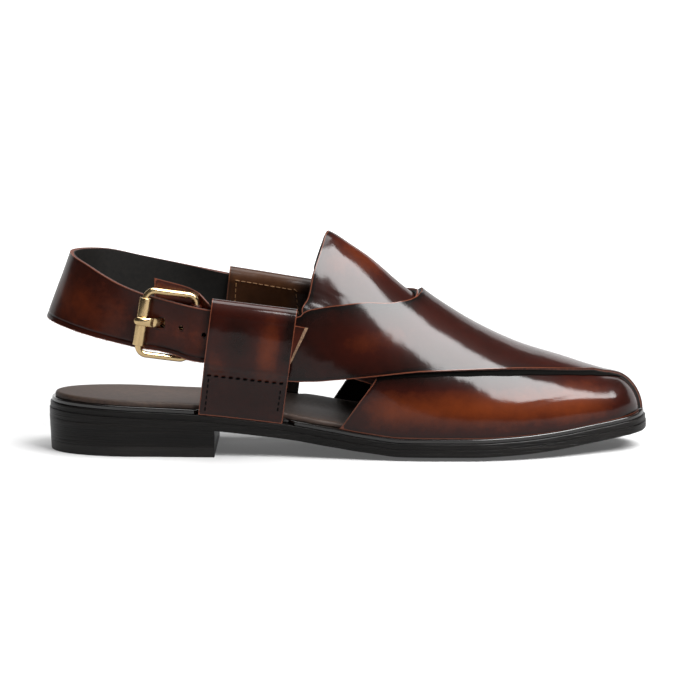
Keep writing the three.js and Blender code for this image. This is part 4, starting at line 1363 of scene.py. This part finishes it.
@dataclass
class Keepers:
    """The lateral and the medial keeper, with their seams."""

    lateral: Keeper = field(default_factory=lambda: Keeper(
        Side.LATERAL, back_foot=34.8, front_foot=77.0, back_top=42.8, front_top=84.5, stitch_back=42.4,
        stitch_front=37.7, top_back=80.3, top_front=75, inner=-2.9, outer=9.3, pinch_out=4.7, pinch_in=0.5))
    medial: Keeper = field(default_factory=lambda: Keeper(
        Side.MEDIAL, back_foot=41, front_foot=83, back_top=49.1, front_top=90.6, stitch_back=43.4,
        stitch_front=39.6, top_back=88.6, top_front=82.2, inner=-5.6, outer=4.9, pinch_out=0.4, pinch_in=3.2))
    thread: Thread = Thread(3.0, 2.1, 0.42)
    tan_thread: Thread = Thread(3.0, 2.2, 0.24)
    tan_path: tuple = ((51, 66), (52.2, 81.8), (82.5, 76.9), (84, 64))

    def dress(self, finishes: Finishes) -> None:
        """Makes both keepers and their stitches.

        Args:
            finishes: all finishes, by name.
        """
        skin = pick(finishes, "burnished_leather raw_edge black_lining olive_leather")
        for name, keeper in (("keeper_lateral", self.lateral), ("keeper_medial", self.medial)):
            make(name + "_loop", keeper.build(), skin, (name,))
            make(name + "_seam", keeper.seam(self.thread), pick(finishes, "black_thread"))
        row = self.medial.inside_seam(self.tan_path, self.tan_thread)
        make("keeper_medial_inside_seam", row, pick(finishes, "tan_thread"))


# The heel strap and its buckle


@dataclass
class HeelStrap:
    """The strap from inside the medial band, round the heel and through the buckle to its cut tail."""

    thick: float = 2.4
    steps: int = 11
    start: tuple = ((78, 79, 52, 79.4), (62, 63, 53.4, 82.1), (46, 47, 55, 84.8))
    tail: tuple = ((49, 49, 48.9, 73.4), (60, 60, 48.9, 71.3), (71, 73, 48.8, 69), (81.2, 89.6, 48.6, 65.6))
    start_out: float = -2.8
    tail_out: float = 4.4
    turn: tuple = (
        ((24, 32, 57.5), (25, 31.2, 89.2)), ((4, 31.4, 60), (4, 30.4, 93.7)), ((-15, 28, 62.4), (-11.5, 25.4, 97.6)),
        ((-29.6, 19.6, 64.8), (-20.9, 16.8, 98.9)), ((-37.4, 9.6, 66), (-26.2, 8.4, 99.3)),
        ((-40.1, 0, 66.4), (-27.8, 0, 99.1)), ((-37, -9.8, 65.2), (-25.8, -8.8, 97.8)),
        ((-28, -19, 62.8), (-18.4, -17.8, 94.4)), ((-16.5, -25.8, 60.2), (-10.2, -24.4, 90.2)),
        ((-4.5, -30, 57.8), (-2, -28.8, 86.4)), ((8, -32.9, 55.4), (8.5, -32.2, 82.6)),
        ((14, -33.8, 54.8), (14, -33.4, 81.2)), ((20, -34.8, 53.7), (20, -34.5, 79.8)),
        ((26, -36, 52.2), (26, -35.7, 78.3)), ((31, -36.9, 50.2), (32, -36.4, 76.8)),
        ((38, -36.6, 48.9), (40, -35.5, 75)))
    holes: tuple = ((27.3, 66.1), (38.6, 62.7))
    hole_radius: float = 1.15
    slot: tuple = (17.0, 68.3, 4.9, 5.2)  # middle, length and height
    cut_from: float = -48  # Y between which the holes are cut
    cut_to: float = -26
    groove: float = 2.5  # height of the creased line above the lower edge
    fibre_count: int = 900
    fibre_width: float = 0.13

    def grid(self) -> Array:
        """The inner face as points stored (along, up): curves along the strap through the table's rows.

        Returns:
            The grid.
        """
        up = np.concatenate([[0, 0.015], np.linspace(0.04, 0.12, 9), np.linspace(0.15, 0.96, 18), [0.985, 1]])

        def rows(table: Sequence[Sequence[float]], side: Side, out: float) -> list[Array]:
            """Lines up the strap from rows of x and height, low and top, beside the last."""
            return [LAST.beside(mix(a, b, up), side.value, mix(c, d, up), out) for a, b, c, d in table]

        turn = [mix(np.array([low], float), np.array([top], float), up[:, None]) for low, top in self.turn]
        table = np.array(rows(self.start, Side.MEDIAL, self.start_out) + turn
                         + rows(self.tail, Side.LATERAL, self.tail_out))
        return rail(table.reshape(len(table), -1), self.steps).reshape(-1, len(up), 3)

    def build(self) -> Mesh:
        """The strap's sheet, with a creased line above its lower edge and a slow hand-cut wave in its face.

        Returns:
            The strap, without its holes.
        """
        grid = self.grid()
        normal = strap_normals(grid)
        rise = np.concatenate([np.zeros((len(grid), 1)),
                               np.cumsum(np.linalg.norm(np.diff(grid, axis=1), axis=2), axis=1)], 1)
        run = np.concatenate([[0], np.cumsum(np.linalg.norm(np.diff(grid[:, 8], axis=0), axis=1))])[:, None]
        relief = -0.28 * bump(rise, self.groove, 0.42)
        relief = relief + 0.1 * np.sin(run / 9 + 1) * np.sin(rise / 7) + 0.06 * np.sin(run / 4.3 + rise / 5)
        tone = 0.3 + 0.22 * bump(rise / rise[:, -1:], 0.45, 0.3) + 0.16 * bump(run, 170, 26)
        # Darker along the creased groove above the lower edge: painted shade in the groove.
        tone = tone - 0.12 * smooth(150, 110, run) - 0.25 * bump(rise, self.groove, 0.5)
        outer = grid + normal * (self.thick + relief)[..., None]
        mesh = thick_sheet(outer, grid, bulge=0.2, split=0.55, tone=tone, back=0.2)
        end = run.max() - run[:, 0] < 1.6
        rows = np.minimum(mesh.faces[:, 0] // grid.shape[1], len(grid) - 1)
        torn = (mesh.slots == 0) & (mesh.faces.max(1) < rise.size) & end[rows]
        tip = (mesh.slots == 1) & (mesh.points[mesh.faces].mean(1)[:, 0] > 80) & (mesh.points[mesh.faces[:, 0], 1] < 0)
        mesh.slots[torn | tip] = FOURTH_SLOT
        return mesh

    def fibres(self) -> Mesh:
        """Loose fibres under the lower edge: three-sided spikes of random length and lean.

        Returns:
            All fibres as one mesh.
        """
        rng = np.random.default_rng(SEED)
        grid = self.grid()
        normal, low, count = strap_normals(grid)[:, 0], grid[:, 0], self.fibre_count
        place = rng.uniform(30, len(low) - 40, count)
        i, f = place.astype(int), (place % 1)[:, None]
        base = mix(low[i], low[i + 1], f) + normal[i] * rng.uniform(0.2, 2.2, (count, 1)) + [0, 0, 0.25]
        along = unit(low[i + 1] - low[i])
        sway = along * rng.normal(0, 0.5, (count, 1)) + normal[i] * rng.normal(0, 0.25, (count, 1))
        tip = base + unit(np.array([0, 0, -1.0]) + sway) * rng.uniform(0.3, 1.0, (count, 1)) ** 2 * 1.5
        foot = [base + self.fibre_width * (along * math.cos(a) + normal[i] * math.sin(a)) for a in (0, 2.1, 4.2)]
        one = np.array([[0, 2, 1, 1], [0, 1, 3, 3], [1, 2, 3, 3], [2, 0, 3, 3]])
        faces = (one[None] + 4 * np.arange(count)[:, None, None]).reshape(-1, 4)
        return solid(np.stack([*foot, tip], 1), faces)

    def punch(self, piece: bpy.types.Object) -> None:
        """Cuts the prong's slot, a superellipse, and the two round holes right through the strap.

        Args:
            piece: the strap.
        """
        a = 2 * math.pi * np.arange(28) / 28
        x, z, length, height = self.slot
        r = self.hole_radius
        for x, z, wide, tall, power in ((x, z, length / 2, height / 2, 0.5), *((*at, r, r, 1.0) for at in self.holes)):
            ring = np.stack([x + wide * np.sign(np.cos(a)) * np.abs(np.cos(a)) ** power, 0 * a,
                             z + tall * np.sign(np.sin(a)) * np.abs(np.sin(a)) ** power], 1)
            rings = np.stack([ring + [0, y, 0] for y in (self.cut_from, self.cut_to)])
            cutter = linked("cutter", mesh_data("cutter", capped(rings, [[x, self.cut_from, z], [x, self.cut_to, z]])))
            cut = piece.modifiers.new("punch", "BOOLEAN")
            cut.operation, cut.solver, cut.object = "DIFFERENCE", "EXACT", cutter
            done = bpy.data.meshes.new_from_object(piece.evaluated_get(bpy.context.evaluated_depsgraph_get()))
            piece.modifiers.clear()
            piece.data = done
            bpy.data.objects.remove(cutter)

    def dress(self, finishes: Finishes) -> None:
        """Makes the strap and its loose fibres.

        Args:
            finishes: all finishes, by name.
        """
        skin = pick(finishes, "strap_leather raw_edge black_lining torn_end")
        self.punch(make("strap_leather", self.build(), skin, ("heel_strap",)))
        make("strap_fibres", self.fibres(), pick(finishes, "fluff"))


@dataclass
class Buckle:
    """A roller buckle on a leather tab. Its plane leans, and it stands nearer the heel on its roller side."""

    x: float = 8.1
    z: float = 68.9
    tilt: float = 0.165
    width: float = 24.9  # between the middles of its two bars
    low: float = -15.4  # its ends along the bars
    high: float = 16.6
    corner: float = 4.5
    left: float = 39  # how far out each bar stands
    right: float = 33
    bar: float = 1.6
    fit: float = 0.25  # clearance of a sleeve round the bar
    wraps: tuple = ((4.2, 12.4), (-11.2, -1.8))
    wrap: float = 2.9
    roller: float = 2.95
    roller_bore: float = 1.8
    roller_half: float = 11.9
    eye: float = 2.5
    eye_half: float = 2.6
    prong_up: float = 1.2
    # the prong's middle line: across, out, half thickness, half width; the tab: x, low, top, out
    prong: tuple = ((23.1, 33.1, 1.2, 2), (16, 33.2, 1.2, 2), (11.6, 33.4, 1.2, 2), (9.4, 35.2, 1.2, 2),
                    (7.9, 38.4, 1.25, 2.05), (5.6, 41.4, 1.3, 2.1), (3.2, 42.9, 1.3, 2.1), (0.5, 43.5, 1.3, 2.1),
                    (-2, 43.5, 1.2, 2), (-3.7, 43.1, 0.9, 1.4))
    tab: tuple = ((14, 58, 90.2, 31.2), (21, 56, 88.2, 30.2), (28.5, 54.6, 86, 29.15), (33, 53.4, 84.2, 29.05),
                  (36.6, 52.8, 82, 29.4), (39.5, 52.2, 79.4, 32.3), (43, 51.6, 75.6, 34))
    tab_thick: float = 1.2

    def at(self, across: Array, up: Array, out: Array = 0.0) -> Array:
        """Places in the buckle's plane: across from the roller bar, up along it, and out towards the viewer.

        Args:
            across: from the roller bar.
            up: along it.
            out: towards the viewer.

        Returns:
            Points.
        """
        across, up = np.broadcast_arrays(np.asarray(across, float), np.asarray(up, float))
        x = self.x + math.cos(self.tilt) * across + math.sin(self.tilt) * up
        z = self.z - math.sin(self.tilt) * across + math.cos(self.tilt) * up
        return np.stack([x, -(mix(self.left, self.right, across / self.width) + out), z], -1)

    def sleeve(self, across: float, first: float, final: float, radius: float, bore: float, turn: float = 0.5,
               facets: int = 40) -> Mesh:
        """A rounded sleeve round a bar: its section, a rounded rectangle, carried round the bar.

        Args:
            across: the bar's place across the buckle.
            first: where it starts along the bar.
            final: where it ends.
            radius: outer radius.
            bore: inner radius.
            turn: radius of its rounded ends.
            facets: steps round the bar.

        Returns:
            A closed mesh.
        """
        a, b = self.at(across, first), self.at(across, final)
        along = unit(b - a)
        side = unit(np.cross(along, [0.0, -1.0, 0.0]))
        depth = np.cross(side, along)
        length = np.linalg.norm(b - a)
        t = np.linspace(0, math.pi / 2, 5)
        corner = [(length - turn + turn * np.sin(t), radius - turn + turn * np.cos(t)),
                  (np.array([length, length - 0.1]), np.array([bore + 0.1, bore])),
                  (np.array([0.1, 0.0]), np.array([bore, bore + 0.1])),
                  (turn - turn * np.cos(t), radius - turn + turn * np.sin(t))]
        s, r = np.concatenate([c[0] for c in corner]), np.concatenate([c[1] for c in corner])
        angle = 2 * math.pi * np.arange(facets) / facets
        points = (a + along * s[:, None, None]
                  + r[:, None, None] * (side * np.cos(angle)[None, :, None] + depth * np.sin(angle)[None, :, None]))
        return solid(points, grid_faces(len(s), facets, wrap_rows=True, wrap_columns=True))

    def frame(self) -> Mesh:
        """The frame: a round bar bent in a rectangle with round corners.

        Returns:
            The frame.
        """
        w, c = self.width, self.corner
        corners = ((w - c, self.high - c), (c, self.high - c), (c, self.low + c), (w - c, self.low + c))
        turns = [np.linspace(0, math.pi / 2, 10) + k * math.pi / 2 for k in range(4)]
        path = [self.at(x + c * np.cos(a), y + c * np.sin(a)) for a, (x, y) in zip(turns, corners)]
        return closed_bar(np.concatenate(path), self.bar, 20)

    def spike(self) -> Mesh:
        """The prong: ellipses across a curve in the plane square to the bars, with a rounded tip.

        Returns:
            The prong without its eye.
        """
        rows = rail(self.prong, 8)
        across, out, thick, wide = rows.T
        ends = np.minimum(1, np.sqrt(np.clip((np.arange(len(rows))[::-1] + 0.35) / 4, 0, 1)))
        thick, wide = thick * ends, wide * ends
        along = unit(np.stack([np.gradient(across), np.gradient(out)], -1))
        a = 2 * math.pi * (np.arange(20) + 0.5) / 20
        lift = thick[:, None] * np.sin(a)
        points = self.at(across[:, None] - along[:, 1:] * lift, self.prong_up + wide[:, None] * np.cos(a))
        points[..., 1] = -(out[:, None] - along[:, :1] * lift)
        return capped(points, points[[0, -1]].mean(1))

    def flap(self) -> Mesh:
        """The tab's flap, from behind the frame into the lateral keeper.

        Returns:
            The flap without its wraps.
        """
        t = np.linspace(0, 1, 15)
        rows = [np.stack([0 * t + x, 0 * t - out, mix(low, top, t)], -1) for x, low, top, out in self.tab]
        rows += [LAST.beside(0 * t + x, -1, mix(50.5, 70.5 - 0.2 * (x - 48), t), 2.8) for x in (48.0, 54.0, 61.0)]
        grid = rail(np.array(rows).reshape(len(rows), -1), 8).reshape(-1, len(t), 3)
        outer = grid + strap_normals(grid) * self.tab_thick
        tone = 0.4 + 0.25 * bump(np.broadcast_to(t, grid.shape[:2]), 0.85, 0.15)
        return thick_sheet(outer, grid, bulge=0.15, split=0.6, tone=tone)

    def dress(self, finishes: Finishes) -> None:
        """Makes the tab, the frame, the roller and the prong.

        Args:
            finishes: all finishes, by name.
        """
        bore, up, gold = self.bar + self.fit, self.prong_up, pick(finishes, "pale_gold")
        wraps = [self.sleeve(self.width, *ends, self.wrap, bore) for ends in self.wraps]
        make("tab_leather", Mesh.join(self.flap(), *wraps), pick(finishes, "strap_leather raw_edge black_lining"),
             ("buckle_tab",))
        make("frame_wire", self.frame(), gold, ("buckle_frame",))
        middle, half = (self.low + self.high) / 2, self.roller_half
        roller = self.sleeve(0, middle - half, middle + half, self.roller, self.roller_bore, 0.35, 48)
        make("roller_tube", roller, pick(finishes, "lined_gold"), ("buckle_roller",))
        eye = self.sleeve(self.width, up - self.eye_half, up + self.eye_half, self.eye, bore)
        make("prong_spike", Mesh.join(self.spike(), eye), gold, ("buckle_prong",))


# The bottom


@dataclass
class Slab:
    """One layer of the sole: an outline, profile rings stepped in square to it, and caps that follow the dish.

    The outline is sampled at x = a + (b - a)(1 - cos pi t) / 2 on both sides. Each ring is the outline moved
    inwards along its own normal, at a height between the layer's low and high surfaces. A cap is a grid across
    the last ring, whose heights come from the same surface.
    """

    first: float
    final: float
    reach: Callable[[Array, int], Array]
    low: Surface
    high: Surface
    under_round: float = 0.5
    over_round: float = 0.5
    over_heel: float = 1.0  # share of the lower rounding that is left over the heel
    steps: int = 150
    cells: int = 14
    straight_front: bool = False

    def outline(self) -> tuple[Array, Array]:
        """The closed outline, anticlockwise from the heel, and its outward normals.

        Returns:
            Points of two numbers, and normals.
        """
        half = 1 if self.straight_front else 2
        x = mix(self.first, self.final, (1 - np.cos(math.pi * half / 2 * np.linspace(0, 1, self.steps))) / half)
        left, right = (np.stack([x, LAST.middle(x) + side * self.reach(x, side)], -1) for side in (-1, 1))
        loop = [left, right[-2:0:-1]]
        if self.straight_front:
            loop = [left, mix(left[-1], right[-1], np.linspace(0, 1, self.cells + 1)[1:-1, None]), right[:0:-1]]
        loop = np.concatenate(loop)
        tangent = np.roll(loop, -1, 0) - np.roll(loop, 1, 0)
        return loop, unit(np.stack([tangent[:, 1], -tangent[:, 0]], -1))

    def rings(self, loop: Array, normal: Array) -> list[Array]:
        """The profile's rings, from the underside's edge round the side to the top's edge.

        A rounding of radius r goes in by r (1 - sin v) and up by r (1 - cos v), v from 0 to a right angle.

        Args:
            loop: the outline.
            normal: its outward normals.

        Returns:
            A ring of points for each step of the profile.
        """
        v = np.linspace(0, math.pi / 2, 6)
        steep, flat = 1 - np.sin(v), 1 - np.cos(v)
        profile = [*zip(self.under_round * steep, 0 * v, self.under_round * flat),
                   *((0.0, level, 0.0) for level in np.linspace(0, 1, 7)[1:-1]),
                   *zip(self.over_round * flat, 0 * v + 1, -self.over_round * steep)]
        soft = mix(self.over_heel, 1, smooth(38, 52, loop[:, 0]))
        rings = []
        for inset, level, lift in profile:
            share = soft if level == 0 else 1.0
            at = loop - normal * np.reshape(inset * share, (-1, 1))
            low, high = self.low(at[:, 0], at[:, 1]), self.high(at[:, 0], at[:, 1])
            z = (low if level == 0 else high) + lift * share
            if 0 < level < 1:
                z = mix(low + self.under_round * soft, high - self.over_round, level)
            rings.append(np.column_stack([at, z]))
        return rings

    def build(self) -> Mesh:
        """The layer as a closed mesh, with slots 0 top, 1 side and 2 underside.

        Returns:
            The layer.
        """
        loop, normal = self.outline()
        count = len(loop)
        rings = self.rings(loop, normal)
        points = [np.concatenate(rings)]
        faces = [grid_faces(len(rings), count, wrap_columns=True)]
        slots = [np.full(len(faces[0]), 1)]
        start = len(points[0])
        left = np.arange(self.steps)
        right = np.concatenate([[0], count - np.arange(1, self.steps)])
        if not self.straight_front:
            right[-1] = self.steps - 1
        s = np.linspace(0, 1, self.cells + 1)[1:-1]
        for ring, surface, slot, base in ((rings[0], self.low, 2, 0), (rings[-1], self.high, 0, start - count)):
            flat = mix(ring[left, None, :2], ring[right, None, :2], s[None, :, None])
            inner = np.concatenate([flat, surface(flat[..., 0], flat[..., 1])[..., None]], -1)
            table = np.column_stack([base + left, start + np.arange(inner[..., 0].size).reshape(inner.shape[:2]),
                                     base + right])
            if self.straight_front:
                table[-1] = base + np.arange(self.steps - 1, self.steps + self.cells)
            quads = index_quads(table)
            faces.append(quads if base == 0 else quads[:, ::-1])
            slots.append(np.full(len(quads), slot))
            points.append(inner.reshape(-1, 3))
            start += len(points[-1])
        points = np.concatenate(points)
        used = np.unique(np.concatenate(faces))
        number = np.full(len(points), -1)
        number[used] = np.arange(len(used))
        return Mesh(points[used], number[np.concatenate(faces)], np.concatenate(slots))


@dataclass
class Bottom:
    """Outsole, midsole, board, sock and heel."""

    breast: float = 43
    top_piece: float = 5
    taper: float = 0.7  # how much narrower the heel is at the floor
    midsole_step: float = 0.4
    board_step: float = 1.3
    sock_step: float = 3
    edge_lift: float = 0.5  # of the outsole's lower edges at the ball
    sock_thick: float = 2.4
    sock_toe_thick: float = 1.4
    arch: float = 2.6  # height of the padding under the arch

    def between_keepers(self, x: Array, side: int) -> Array:
        """Where the board and the sock draw in between the keepers."""
        back, front = (35.7, 78.1) if side < 0 else (41, 83)
        return smooth(back - 3, back - 1, x) * (1 - smooth(front + 1.5, front + 3.5, x))

    def dished(self, level: Callable[[Array], Array], lift: float = 0.0) -> Surface:
        """A surface a lift above a level of the last's middle line, with the dish."""
        return lambda x, y: level(x) + lift + LAST.dish_at(x, y)

    def outsole(self) -> Mesh:
        """The outsole, with a trimmed, slightly bellied edge.

        Returns:
            The outsole.
        """
        low = self.dished(LAST.under)
        return Slab(LAST.heel_back, LAST.toe_tip, LAST.reach, lambda x, y: low(x, y) + LAST.curl(x, y, self.edge_lift),
                    self.dished(LAST.under, LAST.outsole), under_round=0.9, over_round=0.07, over_heel=0.1).build()

    def midsole(self) -> Mesh:
        """The midsole, a hair inside the outsole, with a rounded top edge that catches the light.

        Returns:
            The midsole.
        """
        step = self.midsole_step
        return Slab(LAST.heel_back + step, LAST.toe_tip - step, lambda x, side: LAST.reach(x, side, step),
                    self.dished(LAST.under, LAST.outsole + 0.04), self.dished(LAST.top_of_sole),
                    under_round=0.06, over_round=0.5).build()

    def board(self) -> Mesh:
        """The black board under the sock.

        Returns:
            The board.
        """
        step = self.board_step

        def reach(x: Array, side: int) -> Array:
            """The sole's reach, drawn in at its edge and between the keepers."""
            return np.maximum(0, LAST.reach(x, side, step) - 3.9 * self.between_keepers(x, side))

        return Slab(LAST.heel_back + step, LAST.toe_tip - step, reach, self.dished(LAST.top_of_sole, 0.1),
                    self.dished(LAST.top_of_board), under_round=0.35, over_round=0.6).build()

    def sock(self) -> Mesh:
        """The leather sock on the board: a rounded edge, and padding under the arch.

        Returns:
            The sock.
        """
        first, final = LAST.heel_back + self.sock_step, LAST.last_tip - 2

        def reach(x: Array, side: int) -> Array:
            """The outline's half width less a step that grows forward, with a round heel and toe.

            Args:
                x: positions along the shoe.
                side: -1 or 1.

            Returns:
                Distances from the ridge line.
            """
            step = 2.2 + 1.4 * smooth(0, 30, x) + 2.4 * smooth(92, 104, x)
            heel = np.clip((first + LAST.heel_round - x) / LAST.heel_round, 0, 1)
            nose = np.clip((x + 2 - LAST.last_tip + 18) / 18, 0, 1)
            shape = LAST.half_width(x, side) - step - side * LAST.middle(x)
            wide = shape * np.sqrt(1 - heel * heel) - 1.8 * self.between_keepers(x, side)
            return np.maximum(0, wide) * np.sqrt(1 - nose * nose)

        def high(x: Array, y: Array) -> Array:
            """The top: thinner from the ball on, and padded under the arch.

            Args:
                x: positions along the shoe.
                y: positions across it.

            Returns:
                Heights.
            """
            arch = self.arch * smooth(4, 27, y) * smooth(46, 74, x) * (1 - smooth(112, 150, x))
            thick = mix(self.sock_thick, self.sock_toe_thick, smooth(90, 170, x))
            return LAST.top_of_board(x) + GAP + thick + LAST.dish_at(x, y) + arch

        return Slab(first, final, reach, self.dished(LAST.top_of_board, 0.1), high, under_round=0.3,
                    over_round=1.55).build()

    def heel(self, low: Surface, high: Surface, bottom_round: float) -> Mesh:
        """A slice of the heel, cut straight at its breast, narrower towards the floor.

        Args:
            low: its lower surface.
            high: its upper surface.
            bottom_round: rounding of its lower edge.

        Returns:
            The slice.
        """
        mesh = Slab(LAST.heel_back, self.breast, LAST.reach, low, high, bottom_round, 0.07,
                    straight_front=True).build()
        inward = self.taper * (1 - mesh.points[:, 2] / LAST.under(0.0))
        mesh.points[:, 0] += inward * smooth(20, LAST.heel_back, mesh.points[:, 0])
        mesh.points[:, 1] *= 1 - inward / 30
        return mesh

    def dress(self, finishes: Finishes) -> None:
        """Makes all layers.

        Args:
            finishes: all finishes, by name.
        """
        top = self.top_piece
        stack = self.heel(lambda x, y: 0 * x + top + 0.05, lambda x, y: LAST.under(x) - 0.02, 0.07)
        piece = self.heel(lambda x, y: 0 * x, lambda x, y: 0 * x + top, 0.4)
        black = "edge_dressing edge_dressing edge_dressing"
        for name, mesh, names, slot, node in (
                ("outsole_layer", self.outsole(), "edge_dressing edge_dressing tread", "sole_leather", "outsole"),
                ("midsole_layer", self.midsole(), black, "sole_leather", "midsole"),
                ("board_layer", self.board(), "board_edge board_edge board_edge", "sole_leather", "insole_board"),
                ("sock_layer", self.sock(), "sock_leather sock_leather board_edge", "sock_leather", "insole"),
                ("heel_stack_layer", stack, black, "sole_leather", "heel_stack"),
                ("heel_top_layer", piece, "heel_rubber heel_rubber heel_rubber", "sole_rubber", "heel_top_piece")):
            make(name, mesh, pick(finishes, names), (node,))


# The studio


@dataclass(frozen=True)
class SoftBox:
    """A soft light: its angles, with azimuth from the camera's side towards the toe, distance, sides and watts."""

    name: str
    azimuth: float
    elevation: float
    distance: float
    width: float
    height: float
    power: float


@dataclass
class Studio:
    """A white sweep, soft boxes and the camera, in metres and degrees."""

    floor_width: float = 20.0
    floor_front: float = -9.0
    floor_back: float = 5.0
    floor_middle: float = 0.1
    sweep: float = 1.5
    wall: float = 3.0
    paper: float = 0.45
    paper_in_gloss: float = 0.26  # the paper as the leather mirrors it, which a black flag would darken
    paper_glow: float = 0.1  # its light under the shoe, and more to the heel's side
    paper_glow_heel: float = 0.4
    paper_glow_far: float = 0.96
    azimuth: float = 0.0
    elevation: float = 8.6
    distance: float = 1.5
    target: tuple[float, float, float] = (0.11028, 0.0, 0.04946)
    lens: float = 152.97
    sensor: float = 36
    lights: tuple[SoftBox, ...] = (SoftBox("key", 54, 50, 1.2, 0.92, 0.78, 41.0),
                                   SoftBox("top", 165, 80, 1.3, 1.0, 0.7, 13.0))
    world: float = 0.05

    def paper_material(self) -> Material:
        """Matt white paper that glows far from the shoe, so that no edge or shade shows behind it.

        Returns:
            The material.
        """
        w = Wiring("white_paper")
        where = w.add("SeparateXYZ", Vector=w.add("TexCoord").outputs["Object"])
        far = w.add("VectorMath", {"operation": "LENGTH"}, i0=w.add("TexCoord").outputs["Object"]).outputs["Value"]
        near = w.fit(where.outputs["X"], -0.15, 0.05, self.paper_glow_heel, self.paper_glow)
        glow = w.math("MAXIMUM", w.fit(where.outputs["Y"], -0.05, 0.8, 0.0, 1.0),
                      w.fit(far, 0.8, 1.9, near, self.paper_glow_far))
        seen = w.fit(w.add("LightPath").outputs["Is Glossy Ray"], 0.0, 1.0, self.paper, self.paper_in_gloss)
        return w.finish(Base_Color=seen, Roughness=0.9, Specular_IOR_Level=0.1, Emission_Color=(1.0, 1.0, 1.0, 1.0),
                        Emission_Strength=glow, Normal=w.bump(w.noise(60), 0.0001))

    def build_floor(self) -> None:
        """The floor, curved up far behind: a straight run, a quarter circle and a straight wall."""
        a = np.linspace(0, math.pi / 2, 24)
        bend = self.floor_back - self.sweep + self.sweep * np.sin(a)
        y = np.concatenate([[self.floor_front], bend, [self.floor_back]])
        z = np.concatenate([[0.0], self.sweep * (1 - np.cos(a)), [self.wall]])
        x = np.array([-self.floor_width / 2, self.floor_width / 2]) + self.floor_middle
        points = np.stack(np.broadcast_arrays(x[None], y[:, None], z[:, None]), -1).reshape(-1, 3)
        data = bpy.data.meshes.new("floor")
        data.from_pydata(points.tolist(), [], grid_faces(len(y), 2)[:, ::-1].tolist())
        data.polygons.foreach_set("use_smooth", np.ones(len(data.polygons), bool))
        data.materials.append(self.paper_material())
        linked("floor", data)

    def towards(self, azimuth: float, elevation: float) -> Vector:
        """Unit vector from an azimuth, 0 towards the camera's side and 90 towards the toe, and an elevation."""
        a, e = math.radians(azimuth), math.radians(elevation)
        return Vector((math.sin(a) * math.cos(e), -math.cos(a) * math.cos(e), math.sin(e)))

    def hang(self, box: SoftBox) -> None:
        """Hangs one soft box that faces the shoe.

        Args:
            box: the light.
        """
        data = bpy.data.lights.new(box.name, "AREA")
        data.shape, data.size, data.size_y, data.energy = "RECTANGLE", box.width, box.height, box.power
        lamp = linked(box.name, data)
        towards = self.towards(box.azimuth, box.elevation)
        lamp.location = Vector(self.target) + towards * box.distance
        lamp.rotation_euler = towards.to_track_quat("Z", "Y").to_euler()
        lamp.visible_camera = False

    def build(self) -> None:
        """Makes the floor, the lights, the surroundings' glow and the camera."""
        self.build_floor()
        for box in self.lights:
            self.hang(box)
        scene = bpy.context.scene
        scene.world = bpy.data.worlds.new("studio")
        scene.world.use_nodes = True
        background = scene.world.node_tree.nodes["Background"].inputs
        background["Color"].default_value = (1, 1, 1, 1)
        background["Strength"].default_value = self.world
        scene.view_settings.view_transform = "Standard"
        data = bpy.data.cameras.new("camera")
        data.lens, data.sensor_width = self.lens, self.sensor
        scene.camera = linked("camera", data)
        scene.camera.location = Vector(self.target) + self.towards(self.azimuth, self.elevation) * self.distance
        scene.camera.rotation_euler = (math.radians(90 - self.elevation), 0, math.radians(self.azimuth))


def make_finishes() -> Finishes:
    """Every finish of the shoe, by name.

    Returns:
        The materials.
    """
    kinds = (
        BurnishedLeather("burnished_leather"),
        BurnishedLeather("strap_leather", red="2f0e05", warm="5e250b", roughness=0.45, polish=0.5,
                         coat_roughness=0.22, mottle=0.4, edge_depth=0.15),
        # A browner, duller copy of the leather for the keepers' inner leaves: painted shade and a painted brownish
        # reflection on those inward faces.
        BurnishedLeather("olive_leather", black="0f0805", red="331d0f", warm="543419", polish=0.5,
                         coat_roughness=0.25, rubbed="5a3420"),
        PlainFinish("raw_edge", "2e1108", "5c2d1a", scale=700, roughness=0.7),
        PlainFinish("black_lining", "060504", "120f0c", scale=500, roughness=0.65, specular=0.3),
        # Near black for the strip under the over band's edge: lining colour and painted shade.
        PlainFinish("black_tape", "010101", "050403", scale=700, roughness=0.85, specular=0.06),
        PlainFinish("black_thread", "020202", "0a0807", scale=900, roughness=0.8, specular=0.1),
        PlainFinish("tan_thread", "5e4024", "8a6238", scale=900, roughness=0.7),
        PlainFinish("torn_end", "3a2418", "86694f", scale=1100, roughness=0.9, depth=0.0006),
        PlainFinish("fluff", "4a2c1e", "8a5a40", scale=900, roughness=0.8),
        PlainFinish("edge_dressing", "020202", "120f0d", scale=110, stretch=(0.2, 0.2, 9), roughness=0.42,
                    coat=0.1, depth=0.0005, specular=0.2),
        PlainFinish("tread", "0c0b0a", "1c1917", scale=400, roughness=0.7, depth=0.0002),
        PlainFinish("heel_rubber", "0b0a09", "1b1816", scale=160, stretch=(0.3, 0.3, 6), roughness=0.55,
                    coat=0.1, depth=0.0001, specular=0.3),
        PlainFinish("board_edge", "060505", "100c0a", scale=140, roughness=0.22, coat=0.6),
        PlainFinish("sock_leather", "2b1d16", "3f2d22", scale=420, roughness=0.62, depth=0.00012),
        Gilt("pale_gold"),
        # Streaks along the roller's axis: in colour they are painted reflection lines, and in roughness and relief
        # they make the metal mirror in lines.
        Gilt("lined_gold", marks=(1, 1, 0.06), scale=700, depth=0.00002),
    )
    return {kind.name: kind.material() for kind in kinds}


def main() -> None:
    """Makes the finishes, then each sub-assembly in order, then the studio."""
    logging.basicConfig(level=logging.INFO, format="%(message)s")
    finishes = make_finishes()
    for assembly in (Bottom(), Upper(), Keepers(), HeelStrap(), Buckle()):
        assembly.dress(finishes)
    Studio().build()


if __name__ == "__main__":
    main()
